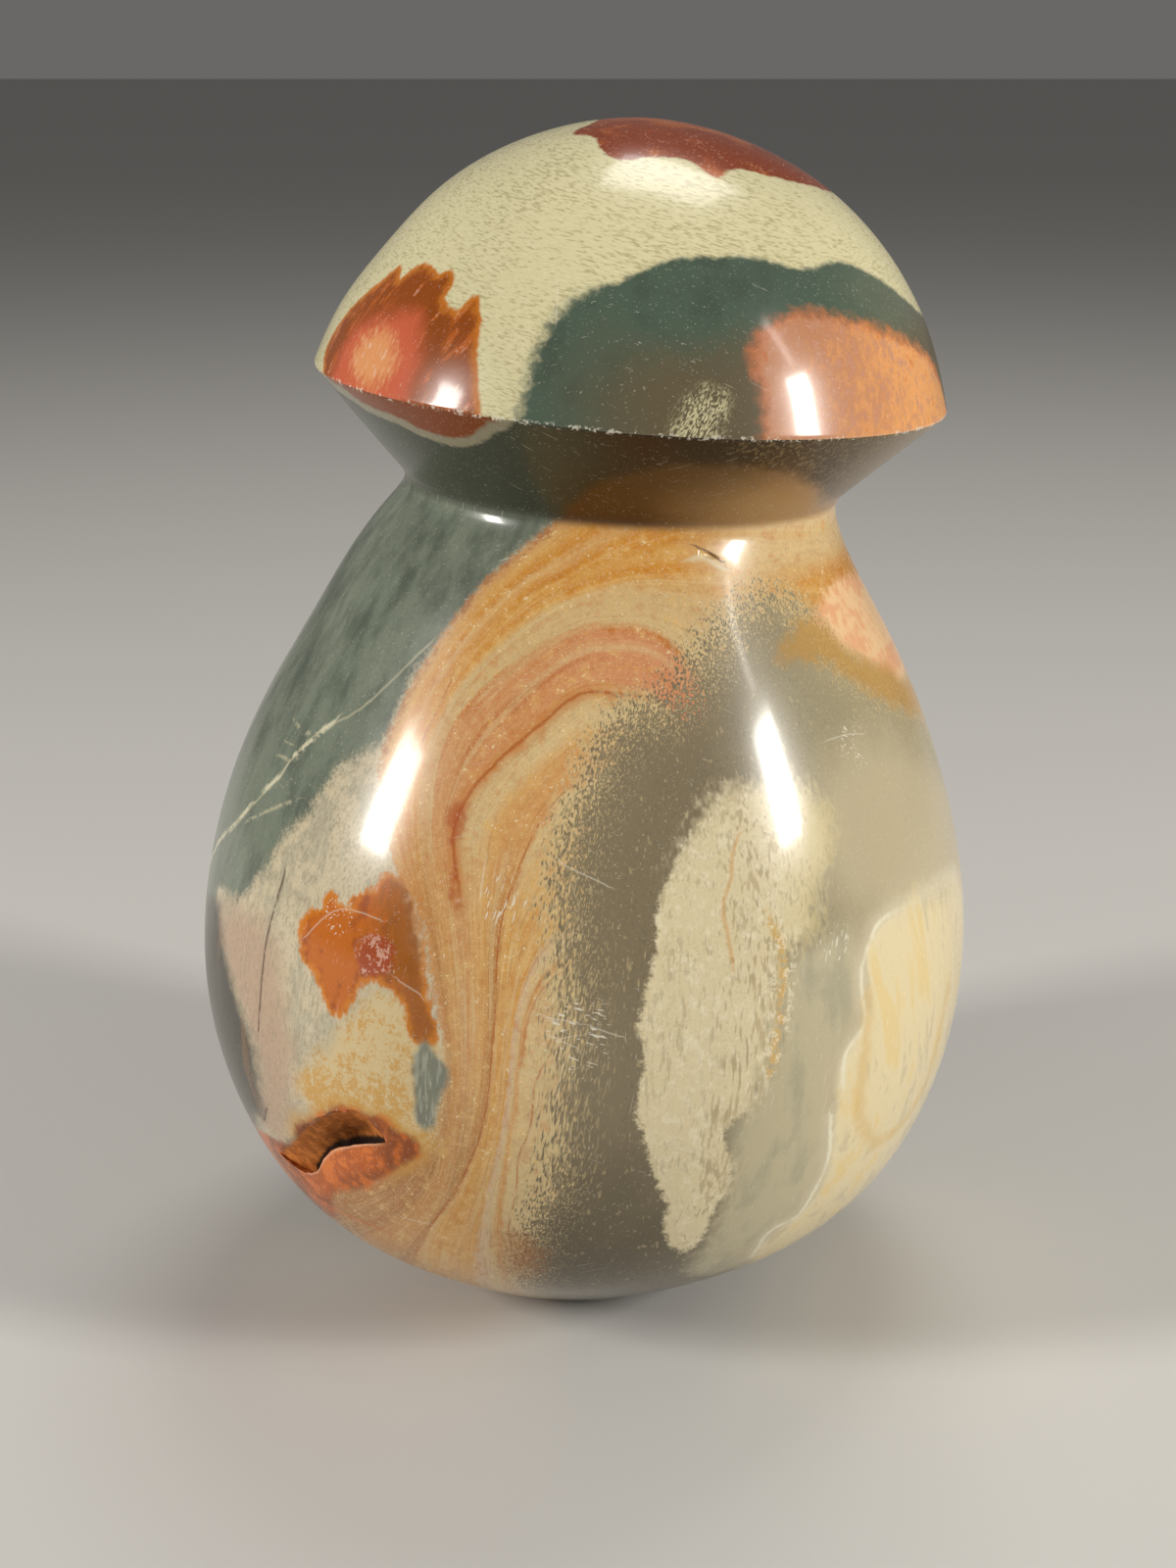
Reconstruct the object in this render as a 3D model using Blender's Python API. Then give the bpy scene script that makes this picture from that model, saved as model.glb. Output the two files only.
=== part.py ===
"""A mushroom carved and polished from one piece of polychrome jasper.

The stone is a single solid. A pear-shaped stem stands on a small flat foot, a neck is cut in above it, and
a domed cap with a crisp rim leans down to the right. A natural cavity opens low on the left of the front.

Metres, +Z up, and the front is -Y. The origin is on the surface that the stone stands on, under the middle
of the stem. A bearing is the angle round the stone in degrees: 0 is the front, and 90 is the right.
"""

import math
from collections import namedtuple

import bmesh
import bpy
import numpy as np
from mathutils import Matrix, Vector

MM = 0.001

# Each ring is a level cut through the carving: its height, its radius, how far its centre lies to the right
# of the origin, and how many degrees it leans down to the right. Lengths are in millimetres.
Ring = namedtuple("Ring", "height radius shift lean")

FOOT = Ring(0, 12.5, -0.8, 0)
BELLY = Ring(36, 43.1, 0, 0)
NECK = Ring(91.2, 22.8, 4.2, 3.2)
RIM = Ring(102.2, 33.8, 5.1, 4.4)
CROWN = Ring(129.4, 0, 6.9, 3.6)

STEM_OUTLINE = (
    FOOT,
    Ring(1.6, 17.6, -0.8, 0),
    Ring(5.5, 24.4, -0.8, 0),
    Ring(11.5, 32.8, -0.3, 0),
    Ring(22, 39.8, 0, 0),
    BELLY,
    Ring(50.5, 42.1, 0.3, 0.5),
    Ring(65, 37.5, 1.0, 1.2),
    Ring(78, 30.7, 2.0, 2.0),
    Ring(87, 25.4, 2.7, 2.7),
    NECK,
)
DOME_OUTLINE = (
    RIM,
    Ring(108, 31.7, 5.7, 4.2),
    Ring(114.5, 27.7, 6.6, 4.0),
    Ring(121, 22.0, 6.9, 3.8),
    Ring(126.8, 12.6, 7.0, 3.7),
    CROWN,
)

# How finely the surface is cut into facets.
COLUMNS = 72
STEM_BANDS = 25
UNDERCUT_BANDS = 4
DOME_BANDS = 13

# The cavity from its left tip to its right tip. Each cut across it has a bearing, the heights of its crisp
# lower lip and its worn upper lip, and how deep the hollow goes in below the lower lip. Millimetres.
CavityCut = namedtuple("CavityCut", "bearing lower_lip upper_lip depth")

CAVITY = (
    CavityCut(-56, 22.4, 22.9, 0.2),
    CavityCut(-51, 21.9, 25.4, 1.3),
    CavityCut(-47, 22.4, 27.8, 2.3),
    CavityCut(-44, 23.6, 29.6, 3.2),
    CavityCut(-41, 26.1, 31.1, 4.0),
    CavityCut(-38, 28.1, 32.6, 4.5),
    CavityCut(-34.5, 29.4, 33.8, 4.2),
    CavityCut(-31.5, 30.3, 34.0, 2.8),
    CavityCut(-28, 31.0, 31.7, 0.3),
)
CAVITY_CUTS = 25
UNDER_LIP = 0.6  # how far the bottom of the hollow reaches in under the lower lip, as a share of its depth
SLOPE_SAG = 0.22  # how far the slope down from the upper lip is hollowed, as a share of the depth
CLEAR_OF_SURFACE = 1.2  # how far the cutting shape stands out of the stone, in millimetres

CREASE_ANGLE = math.radians(35)
JASPER_COLOUR = (0.44, 0.36, 0.25, 1.0)
POLISH_ROUGHNESS = 0.12


def curve_through(knots, points, at):
    """Values at the given places on a natural cubic spline through the points, which stand at the knots."""
    steps = np.diff(knots)
    slopes = np.diff(points, axis=0) / steps[:, None]
    matrix = np.eye(len(knots))
    target = np.zeros_like(points)
    for i in range(1, len(knots) - 1):
        matrix[i, i - 1 : i + 2] = steps[i - 1], 2 * (steps[i - 1] + steps[i]), steps[i]
        target[i] = 6 * (slopes[i] - slopes[i - 1])
    bends = np.linalg.solve(matrix, target)
    span = np.clip(np.searchsorted(knots, at) - 1, 0, len(steps) - 1)
    step = steps[span, None]
    after = (at - knots[span])[:, None] / step
    before = 1 - after
    straight = before * points[span] + after * points[span + 1]
    bulge = (before**3 - before) * bends[span] + (after**3 - after) * bends[span + 1]
    return straight + bulge * step**2 / 6


def smooth_rings(outline, bands, over_the_top=False):
    """Rings evenly spaced along a smooth outline. One that ends at the crown runs on over it, to round it."""
    points = np.array(outline, float)
    whole = points
    if over_the_top:
        mirrored = points[-2::-1] * (1, -1, 1, 1)
        whole = np.vstack([points, mirrored])
    lengths = np.hypot(np.diff(whole[:, 0]), np.diff(whole[:, 1]))
    knots = np.concatenate([[0], np.cumsum(lengths)])
    places = np.linspace(0, knots[len(points) - 1], bands + 1)
    return [Ring(*values) for values in curve_through(knots, whole, places)]


def carving_rings():
    """Every ring from the foot to the crown. The neck and the rim are each a break in the outline."""
    stem = smooth_rings(STEM_OUTLINE, STEM_BANDS)
    undercut = smooth_rings((NECK, RIM), UNDERCUT_BANDS)
    dome = smooth_rings(DOME_OUTLINE, DOME_BANDS, over_the_top=True)
    return stem + undercut[1:] + dome[1:]


def ring_place(ring):
    centre = Vector((ring.shift, 0, ring.height)) * MM
    return Matrix.Translation(centre) @ Matrix.Rotation(math.radians(ring.lean), 4, "Y")


def stone_mesh(rings):
    """A circle for each ring, bridged to the next one, with a flat foot and a closed crown."""
    mesh = bpy.data.meshes.new("mushroom_carving")
    shell = bmesh.new()
    below = None
    for ring in rings[:-1]:
        made = bmesh.ops.create_circle(
            shell,
            cap_ends=below is None,
            segments=COLUMNS,
            radius=ring.radius * MM,
            matrix=ring_place(ring),
        )
        loop = list({edge for vert in made["verts"] for edge in vert.link_edges})
        if below is not None:
            bmesh.ops.bridge_loops(shell, edges=below + loop)
        below = loop
    tip = shell.verts.new(Vector((CROWN.shift, 0, CROWN.height)) * MM)
    for edge in below:
        shell.faces.new((edge.verts[0], edge.verts[1], tip))
    bmesh.ops.recalc_face_normals(shell, faces=shell.faces)
    shell.to_mesh(mesh)
    shell.free()
    mesh.shade_smooth()
    mesh.set_sharp_from_angle(angle=CREASE_ANGLE)
    return mesh


def on_stem(bearing, height, rings):
    """The point of the stem's surface at a bearing and a height, in millimetres."""
    stem = [ring for ring in rings if ring.height <= NECK.height]
    heights = [ring.height for ring in stem]
    radius = np.interp(height, heights, [ring.radius for ring in stem])
    shift = np.interp(height, heights, [ring.shift for ring in stem])
    angle = math.radians(bearing)
    return Vector((shift + radius * math.sin(angle), -radius * math.cos(angle), height))


def cavity_cuts():
    """The cuts across the cavity, evenly spaced on smooth curves through the ones that give its shape."""
    cuts = np.array(CAVITY, float)
    bearings = np.linspace(cuts[0, 0], cuts[-1, 0], CAVITY_CUTS)
    return [CavityCut(*values) for values in curve_through(cuts[:, 0], cuts, bearings)]


def cavity_section(cut, rings):
    """The corners of the hollow at one cut: past its lower lip, its bottom, half way up, past its upper lip."""
    lower = on_stem(cut.bearing, cut.lower_lip, rings)
    upper = on_stem(cut.bearing, cut.upper_lip, rings)
    inward = -Vector((lower.x, lower.y, 0)).normalized()
    bottom = lower + inward * cut.depth
    bottom += (lower - upper).normalized() * cut.depth * UNDER_LIP
    slope = (bottom + upper) / 2 + inward * cut.depth * SLOPE_SAG
    past_lower = lower + (lower - bottom).normalized() * CLEAR_OF_SURFACE
    past_upper = upper + (upper - slope).normalized() * CLEAR_OF_SURFACE
    return [corner * MM for corner in (past_lower, bottom, slope, past_upper)]


def cavity_mesh(rings):
    """The shape of the hollow, one outline for each cut across it, joined from tip to tip."""
    mesh = bpy.data.meshes.new("cavity_cutter")
    shell = bmesh.new()
    sections = []
    for cut in cavity_cuts():
        sections.append([shell.verts.new(corner) for corner in cavity_section(cut, rings)])
    for first, second in zip(sections, sections[1:]):
        for i in range(len(first)):
            shell.faces.new((first[i - 1], first[i], second[i], second[i - 1]))
    shell.faces.new(sections[0])
    shell.faces.new(sections[-1])
    bmesh.ops.recalc_face_normals(shell, faces=shell.faces)
    shell.to_mesh(mesh)
    shell.free()
    return mesh


def jasper():
    """Polished jasper, at the average of its colours."""
    material = bpy.data.materials.new("polished_jasper")
    material.use_nodes = True
    surface = material.node_tree.nodes["Principled BSDF"]
    surface.inputs["Base Color"].default_value = JASPER_COLOUR
    surface.inputs["Roughness"].default_value = POLISH_ROUGHNESS
    surface.inputs["Metallic"].default_value = 0.0
    return material


def build():
    for old in list(bpy.data.objects):
        bpy.data.objects.remove(old, do_unlink=True)
    rings = carving_rings()
    stone = bpy.data.objects.new("mushroom_carving", stone_mesh(rings))
    stone.data.materials.append(jasper())
    cutter = bpy.data.objects.new("cavity_cutter", cavity_mesh(rings))
    cutter.hide_render = True
    cutter.display_type = "WIRE"
    for made in (stone, cutter):
        bpy.context.scene.collection.objects.link(made)
    hollow = stone.modifiers.new("cavity", "BOOLEAN")
    hollow.operation = "DIFFERENCE"
    hollow.solver = "EXACT"
    hollow.object = cutter


build()
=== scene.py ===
# %% [markdown]
# A mushroom carved from polychrome jasper
#
# Polychrome jasper is an opaque stone in which iron has coloured silica mud cream, grey-green, orange and
# rust red. This one was cut from a single block, turned into a mushroom and polished by hand. The lesson
# builds it in four steps: the turned shape, the broken places in it, a map of where each colour lies, and
# the stone itself as one material. It ends with the floor and the lights.

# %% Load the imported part
import math
from collections import namedtuple
from functools import reduce

import bmesh
import bpy
import numpy as np
from mathutils import Matrix, Vector


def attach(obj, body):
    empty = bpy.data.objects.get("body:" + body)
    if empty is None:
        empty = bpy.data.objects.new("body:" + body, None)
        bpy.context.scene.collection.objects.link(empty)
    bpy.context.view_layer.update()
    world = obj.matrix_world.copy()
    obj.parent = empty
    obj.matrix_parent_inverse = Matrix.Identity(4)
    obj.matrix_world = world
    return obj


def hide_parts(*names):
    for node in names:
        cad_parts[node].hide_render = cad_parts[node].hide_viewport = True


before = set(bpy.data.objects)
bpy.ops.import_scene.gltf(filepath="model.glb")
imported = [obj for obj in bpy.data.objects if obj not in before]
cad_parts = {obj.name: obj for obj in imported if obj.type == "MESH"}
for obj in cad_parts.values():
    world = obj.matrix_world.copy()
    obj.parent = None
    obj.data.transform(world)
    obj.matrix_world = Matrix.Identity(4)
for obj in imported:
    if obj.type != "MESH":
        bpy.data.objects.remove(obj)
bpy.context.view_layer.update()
MM = 0.001

# %% [markdown]
# The camera comes first, because every later choice is judged through it. The photograph was taken from
# about two carving heights away, looking down at the stone. Close to a thing this small, the distance
# matters as much as the angle: it decides how much of the cap's underside shows and how wide the belly
# looks against the cap.

# %% Camera
LOOK_AT = Vector((0.53, 0, 57.03)) * MM
CAMERA_DISTANCE = 265.6 * MM
CAMERA_PITCH = math.radians(17.93)
LENS = 54.1
SENSOR_HEIGHT = 36.0
CLIP_START = 10 * MM

toward_camera = Vector((0, -math.cos(CAMERA_PITCH), math.sin(CAMERA_PITCH)))
camera_data = bpy.data.cameras.new("camera")
camera_data.sensor_fit = "VERTICAL"
camera_data.sensor_height = SENSOR_HEIGHT
camera_data.lens = LENS
camera_data.clip_start = CLIP_START
camera = bpy.data.objects.new("camera", camera_data)
camera.location = LOOK_AT + toward_camera * CAMERA_DISTANCE
camera.rotation_euler = (math.pi / 2 - CAMERA_PITCH, 0, 0)
bpy.context.scene.collection.objects.link(camera)
bpy.context.scene.camera = camera
print("the camera stands", round(camera.location.z / MM), "mm above the floor")

# %% [markdown]
# The outline of the carving is a short list of rings, each a level cut through the stone with its height,
# its radius, how far its centre lies to the right, and how many degrees it leans down to the right. The
# carver didn't hold one straight axis: the cap sits 6 mm to the right of the foot and leans by 4 degrees.
# These are the same rings as the solid has. A smooth curve through them gives as many rings between as
# the mesh needs.

# %% Outline
Ring = namedtuple("Ring", "height radius shift lean")

FOOT = Ring(0, 12.5, -0.8, 0)
BELLY = Ring(36, 43.1, 0, 0)
NECK = Ring(91.2, 22.8, 4.2, 3.2)
RIM = Ring(102.2, 33.8, 5.1, 4.4)
CROWN = Ring(129.4, 0, 6.9, 3.6)

STEM_OUTLINE = (
    FOOT,
    Ring(1.6, 17.6, -0.8, 0),
    Ring(5.5, 24.4, -0.8, 0),
    Ring(11.5, 32.8, -0.3, 0),
    Ring(22, 39.8, 0, 0),
    BELLY,
    Ring(50.5, 42.1, 0.3, 0.5),
    Ring(65, 37.5, 1.0, 1.2),
    Ring(78, 30.7, 2.0, 2.0),
    Ring(87, 25.4, 2.7, 2.7),
    NECK,
)
DOME_OUTLINE = (
    RIM,
    Ring(108, 31.7, 5.7, 4.2),
    Ring(114.5, 27.7, 6.6, 4.0),
    Ring(121, 22.0, 6.9, 3.8),
    Ring(126.8, 12.6, 7.0, 3.7),
    CROWN,
)


def curve_through(knots, points, at):
    """Values at the given places on a natural cubic spline through the points, which stand at the knots."""
    steps = np.diff(knots)
    slopes = np.diff(points, axis=0) / steps[:, None]
    matrix = np.eye(len(knots))
    target = np.zeros_like(points)
    for i in range(1, len(knots) - 1):
        matrix[i, i - 1 : i + 2] = steps[i - 1], 2 * (steps[i - 1] + steps[i]), steps[i]
        target[i] = 6 * (slopes[i] - slopes[i - 1])
    bends = np.linalg.solve(matrix, target)
    span = np.clip(np.searchsorted(knots, at) - 1, 0, len(steps) - 1)
    step = steps[span, None]
    after = (at - knots[span])[:, None] / step
    before = 1 - after
    straight = before * points[span] + after * points[span + 1]
    bulge = (before**3 - before) * bends[span] + (after**3 - after) * bends[span + 1]
    return straight + bulge * step**2 / 6


def smooth_rings(outline, shares, over_the_top=False):
    """Rings at the given shares of a smooth outline.

    An outline that ends at the crown runs on over it in mirror image, so that the crown comes out round.
    """
    points = np.array(outline, float)
    whole = points
    if over_the_top:
        mirrored = points[-2::-1] * (1, -1, 1, 1)
        whole = np.vstack([points, mirrored])
    lengths = np.hypot(np.diff(whole[:, 0]), np.diff(whole[:, 1]))
    knots = np.concatenate([[0], np.cumsum(lengths)])
    places = np.array(shares) * knots[len(points) - 1]
    return [Ring(*values) for values in curve_through(knots, whole, places)]


STEM_SHARES = np.linspace(0, 1, 28)
UNDERCUT_SHARES = (0.0, 0.14, 0.38, 0.64, 0.86, 0.96, 1.0)  # two close to the rim keep its edge crisp
DOME_SHARES = (0.012, 0.045, *np.linspace(0.1, 0.97, 17), 0.99)

stem_rings = smooth_rings(STEM_OUTLINE, STEM_SHARES)
undercut_rings = smooth_rings((NECK, RIM), UNDERCUT_SHARES)
dome_rings = smooth_rings(DOME_OUTLINE, DOME_SHARES, over_the_top=True)
print(len(stem_rings), "rings in the stem,", len(dome_rings), "in the dome")

# %% [markdown]
# The blank is made as it would be on a lathe, from the foot up. A filled circle is added at the middle of
# the foot. It is then extruded once for each ring: the disc moves up, takes the ring's size, and tilts to
# its lean. The disc that is left at the top closes the crown. With no window open, transform.rotate turns
# the other way round, so the angle is given with its sign changed, and the centre is given outright.

# %% Turned blank
COLUMNS = 88
FOOT_RINGS = (Ring(0, 3.5, -0.8, 0), Ring(0, 9, -0.8, 0), Ring(0, 12.1, -0.8, 0))


def centre_of(ring):
    return Vector((ring.shift, 0, ring.height)) * MM


def extrude_to(last, ring):
    """Carries the selected disc on from the last ring to the next one."""
    centre = centre_of(ring)
    bpy.ops.mesh.extrude_region_move(TRANSFORM_OT_translate={"value": centre - centre_of(last)})
    growth = ring.radius / last.radius
    bpy.ops.transform.resize(value=(growth, growth, growth), center_override=centre)
    if ring.lean != last.lean:
        turn = math.radians(last.lean - ring.lean)
        bpy.ops.transform.rotate(value=turn, orient_axis="Y", center_override=centre)


def turned_blank(rings):
    bpy.ops.object.select_all(action="DESELECT")
    bpy.ops.mesh.primitive_circle_add(
        vertices=COLUMNS,
        radius=rings[0].radius * MM,
        fill_type="TRIFAN",
        location=centre_of(rings[0]),
    )
    blank = bpy.context.object
    blank.name = "polished_mushroom"
    bpy.ops.object.transform_apply(location=True)
    bpy.ops.object.mode_set(mode="EDIT")
    for last, ring in zip(rings, rings[1:]):
        extrude_to(last, ring)
    bpy.ops.mesh.select_all(action="SELECT")
    bpy.ops.mesh.normals_make_consistent(inside=False)
    bpy.ops.object.mode_set(mode="OBJECT")
    return blank


stone_rings = [*FOOT_RINGS, *stem_rings, *undercut_rings[1:], *dome_rings]
stone = turned_blank(stone_rings)
crown_error = max(vert.co.z for vert in stone.data.vertices) / MM - CROWN.height
print("the blank has", len(stone.data.vertices), "points; its crown is off by", round(crown_error, 2), "mm")

# %% [markdown]
# A Subdivision Surface rounds the blank off. Two rings close to the rim hold its edge crisp, while the
# neck, where the rings stand further apart, turns into the soft corner that a polishing wheel leaves.
# Polish by hand also leaves a slow unevenness of about a tenth of a millimetre, which is what makes the
# reflections of the lamps waver. A Displace modifier with a wide cloud texture does that. Its middle
# level is 1, so it only ever takes stone away.

# %% Rounding and hand polish
SUBDIVISIONS = 2
WAVER_DEPTH = 0.16
WAVER_WIDTH = 19.0


def apply_modifier(piece, kind, name, **settings):
    """Adds a modifier to a piece, sets it, and applies it."""
    bpy.ops.object.select_all(action="DESELECT")
    piece.select_set(True)
    bpy.context.view_layer.objects.active = piece
    added = piece.modifiers.new(name, kind)
    for setting, value in settings.items():
        setattr(added, setting, value)
    bpy.ops.object.modifier_apply(modifier=added.name)


def cloud_texture(name, width, depth=2):
    """Soft lumps of about the given width, in millimetres."""
    clouds = bpy.data.textures.new(name, "CLOUDS")
    clouds.noise_scale = width * MM
    clouds.noise_depth = depth
    clouds.noise_basis = "IMPROVED_PERLIN"
    return clouds


apply_modifier(stone, "SUBSURF", "rounding", levels=SUBDIVISIONS, render_levels=SUBDIVISIONS)
apply_modifier(
    stone,
    "DISPLACE",
    "waver",
    texture=cloud_texture("waver", WAVER_WIDTH),
    texture_coords="LOCAL",
    strength=WAVER_DEPTH * MM,
    mid_level=1.0,
)
print("rounded to", len(stone.data.polygons), "faces")

# %% [markdown]
# Low on the left of the front the stone has a natural cavity, a slit whose lower lip is crisp and hangs
# over the hollow, while its upper side is worn and slopes in. Its form is a row of cuts from the left tip
# to the right one, the same cuts as in the solid. A square is extruded from cut to cut, and its four
# corners are set on each one: past the lower lip, at the bottom of the hollow, half way up, and past the
# upper lip. Then it is subdivided and roughened, since nobody polished the inside, and a Boolean takes it
# out of the stone.

# %% Cavity
CavityCut = namedtuple("CavityCut", "bearing lower_lip upper_lip depth")

CAVITY = (
    CavityCut(-56, 22.4, 22.9, 0.2),
    CavityCut(-51, 21.9, 25.4, 1.3),
    CavityCut(-47, 22.4, 27.8, 2.3),
    CavityCut(-44, 23.6, 29.6, 3.2),
    CavityCut(-41, 26.1, 31.1, 4.0),
    CavityCut(-38, 28.1, 32.6, 4.5),
    CavityCut(-34.5, 29.4, 33.8, 4.2),
    CavityCut(-31.5, 30.3, 34.0, 2.8),
    CavityCut(-28, 31.0, 31.7, 0.3),
)
CAVITY_CUTS = 33
CUTTER_DIVISIONS = 5
UNDER_LIP = 0.6  # how far the bottom of the hollow reaches in under the lower lip, as a share of its depth
SLOPE_SAG = 0.22  # how far the slope down from the upper lip is hollowed, as a share of the depth
CLEAR_OF_SURFACE = 1.2  # how far the cutting shape stands out of the stone, in millimetres
BREAK_DEPTH = 0.55
BREAK_WIDTH = 1.6


def on_stem(bearing, height):
    """The point of the stem's surface at a bearing and a height, in millimetres."""
    heights = [ring.height for ring in stem_rings]
    radius = np.interp(height, heights, [ring.radius for ring in stem_rings])
    shift = np.interp(height, heights, [ring.shift for ring in stem_rings])
    angle = math.radians(bearing)
    return Vector((shift + radius * math.sin(angle), -radius * math.cos(angle), height))


def cavity_corners(cut):
    """The hollow's corners at one cut: past the lower lip, the bottom, half way up, past the upper lip."""
    lower = on_stem(cut.bearing, cut.lower_lip)
    upper = on_stem(cut.bearing, cut.upper_lip)
    inward = -Vector((lower.x, lower.y, 0)).normalized()
    bottom = lower + inward * cut.depth + (lower - upper).normalized() * cut.depth * UNDER_LIP
    slope = (bottom + upper) / 2 + inward * cut.depth * SLOPE_SAG
    past_lower = lower + (lower - bottom).normalized() * CLEAR_OF_SURFACE
    past_upper = upper + (upper - slope).normalized() * CLEAR_OF_SURFACE
    return [corner * MM for corner in (past_lower, bottom, slope, past_upper)]


def set_selected(piece, corners):
    """Puts the four selected points of a piece, in the order of their numbers, on four corners."""
    shell = bmesh.from_edit_mesh(piece.data)
    picked = sorted((vert for vert in shell.verts if vert.select), key=lambda vert: vert.index)
    for vert, corner in zip(picked, corners):
        vert.co = corner
    bmesh.update_edit_mesh(piece.data)


def cavity_cutter():
    cuts = np.array(CAVITY, float)
    bearings = np.linspace(cuts[0, 0], cuts[-1, 0], CAVITY_CUTS)
    sections = [CavityCut(*values) for values in curve_through(cuts[:, 0], cuts, bearings)]
    bpy.ops.object.select_all(action="DESELECT")
    bpy.ops.mesh.primitive_circle_add(vertices=4, radius=MM, fill_type="NGON")
    cutter = bpy.context.object
    cutter.name = "cavity_cutter"
    bpy.ops.object.mode_set(mode="EDIT")
    set_selected(cutter, cavity_corners(sections[0]))
    for section in sections[1:]:
        bpy.ops.mesh.extrude_region_move()
        set_selected(cutter, cavity_corners(section))
    bpy.ops.mesh.select_all(action="SELECT")
    bpy.ops.mesh.subdivide(number_cuts=CUTTER_DIVISIONS)
    bpy.ops.mesh.normals_make_consistent(inside=False)
    bpy.ops.object.mode_set(mode="OBJECT")
    apply_modifier(
        cutter,
        "DISPLACE",
        "rough break",
        texture=cloud_texture("rough break", BREAK_WIDTH, 3),
        texture_coords="LOCAL",
        strength=BREAK_DEPTH * MM,
        mid_level=0.5,
    )
    return cutter


cutters = [cavity_cutter()]
print("the cavity's cutter has", len(cutters[0].data.polygons), "faces")

# %% [markdown]
# The other damage is small: one flake has sprung off just under the neck, and the rim has a few pinprick
# chips where its edge has met something hard. Each is cut by a small flattened ball with its middle on
# the surface, turned so that it lies along the edge. The rim's chips differ in size and slant, by two
# sine waves that never fall in step with their number. All the cutters are joined, and one Boolean cuts
# them all. Its manifold solver is the one that copes with the roughened hollow, which folds into itself
# at its tips.

# %% Chips
Chip = namedtuple("Chip", "bearing height length width depth tilt")

NECK_CHIP = Chip(22.6, 88.3, 2.9, 0.8, 1.2, 17)
RIM_CHIPS = (-56, -24, 5, 13, 34, 47, 52, 112, 171, -118)  # their bearings
RIM_CHIP_SIZE = 0.42
RIM_CHIP_SHAPE = (1.6, 1.3)  # how long and deep a rim chip is, for a width of 1
RIM_CHIP_SLANT = 20


def rim_height(bearing):
    """Where the leaning rim passes, seen from a bearing."""
    return RIM.height - RIM.radius * math.sin(math.radians(RIM.lean)) * math.sin(math.radians(bearing))


def chip_cutter(chip, radius, shift):
    angle = math.radians(chip.bearing)
    middle = Vector((shift + radius * math.sin(angle), -radius * math.cos(angle), chip.height)) * MM
    bpy.ops.object.select_all(action="DESELECT")
    bpy.ops.mesh.primitive_ico_sphere_add(subdivisions=2, radius=MM / 2, location=middle)
    ball = bpy.context.object
    ball.scale = (chip.length, chip.depth, chip.width)
    ball.rotation_euler = Matrix.Rotation(angle, 3, "Z").to_euler()
    ball.rotation_euler.rotate_axis("Y", math.radians(chip.tilt))
    bpy.ops.object.transform_apply(location=True, rotation=True, scale=True)
    return ball


neck_front = on_stem(0, NECK_CHIP.height)
cutters.append(chip_cutter(NECK_CHIP, radius=-neck_front.y, shift=neck_front.x))
for number, bearing in enumerate(RIM_CHIPS):
    size = RIM_CHIP_SIZE * (1 + 0.5 * math.sin(number * 2.3))
    length, depth = (size * share for share in RIM_CHIP_SHAPE)
    chip = Chip(bearing, rim_height(bearing), length, size, depth, RIM_CHIP_SLANT * math.sin(number))
    cutters.append(chip_cutter(chip, RIM.radius, RIM.shift))

bpy.ops.object.select_all(action="DESELECT")
for cutter in cutters:
    cutter.select_set(True)
bpy.context.view_layer.objects.active = cutters[0]
bpy.ops.object.join()
breaks = cutters[0]
apply_modifier(stone, "BOOLEAN", "breaks", operation="DIFFERENCE", solver="MANIFOLD", object=breaks)
bpy.data.objects.remove(breaks, do_unlink=True)
SHARP_ANGLE = math.radians(38)
bpy.ops.object.shade_smooth_by_angle(angle=SHARP_ANGLE)
print("after the breaks:", len(stone.data.polygons), "faces")

# %% [markdown]
# The colours of this stone lie in zones with edges that a noise texture alone could never put in the
# right place. So each zone gets an outline, drawn on the stone as on a label round a jar: every point has
# a bearing in degrees, where 0 is the front and 90 the right, and a height in millimetres. Past 180
# degrees an outline runs on round the back. First every point of the mesh needs its own place on that
# label: its bearing, and how far up the side of the stone it lies, measured along the surface.

# %% The surface unrolled
LEAST_GIRTH = 0.5  # the middles of the foot and the crown have no girth, but a bearing there needs a width

stone_mesh = stone.data
flat_places = np.empty(len(stone_mesh.vertices) * 3, np.float32)
stone_mesh.vertices.foreach_get("co", flat_places)
places = flat_places.reshape(-1, 3) / MM
bearing = np.degrees(np.arctan2(places[:, 0], -places[:, 1])).astype(np.float32)
height = places[:, 2]
girth = np.maximum(np.hypot(places[:, 0], places[:, 1]), LEAST_GIRTH)

outline_rings = [*stem_rings, *undercut_rings[1:], *dome_rings]
ring_heights = np.array([ring.height for ring in outline_rings])
ring_radii = np.array([ring.radius for ring in outline_rings])
ring_runs = np.concatenate([[0], np.cumsum(np.hypot(np.diff(ring_heights), np.diff(ring_radii)))])


def run_up(heights):
    """How far up the side of the stone a height lies, along the surface."""
    return np.interp(heights, ring_heights, ring_runs)


def store(name, values):
    """Keeps one number for each point of the mesh, under a name that the material can read."""
    attribute = stone_mesh.attributes.new(name, "FLOAT", "POINT")
    attribute.data.foreach_set("value", np.asarray(values, np.float32))


run = run_up(height).astype(np.float32)
print("the side of the stone is", round(float(ring_runs[-1])), "mm long from foot to crown")

# %% [markdown]
# A listed outline is turned into a smooth curve of short straight steps. For each point of the mesh
# the nearest step is found, and from it how far off the curve is and on which side. A degree of bearing
# is wider at the belly than at the neck, so the distance is worked out with the girth at that very point.
# The points are taken in chunks, since all of them against all the steps at once would fill the memory.

# %% Distances to a curve
SAMPLE_STEP = 0.5
LEAST_STEPS = 8
DEGREE_WIDTH = 0.5  # how many millimetres a degree is taken for, while the curve's points are spaced
CHUNK = 6000
TINY = 1e-6  # keeps a step without length from being divided by


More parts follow.
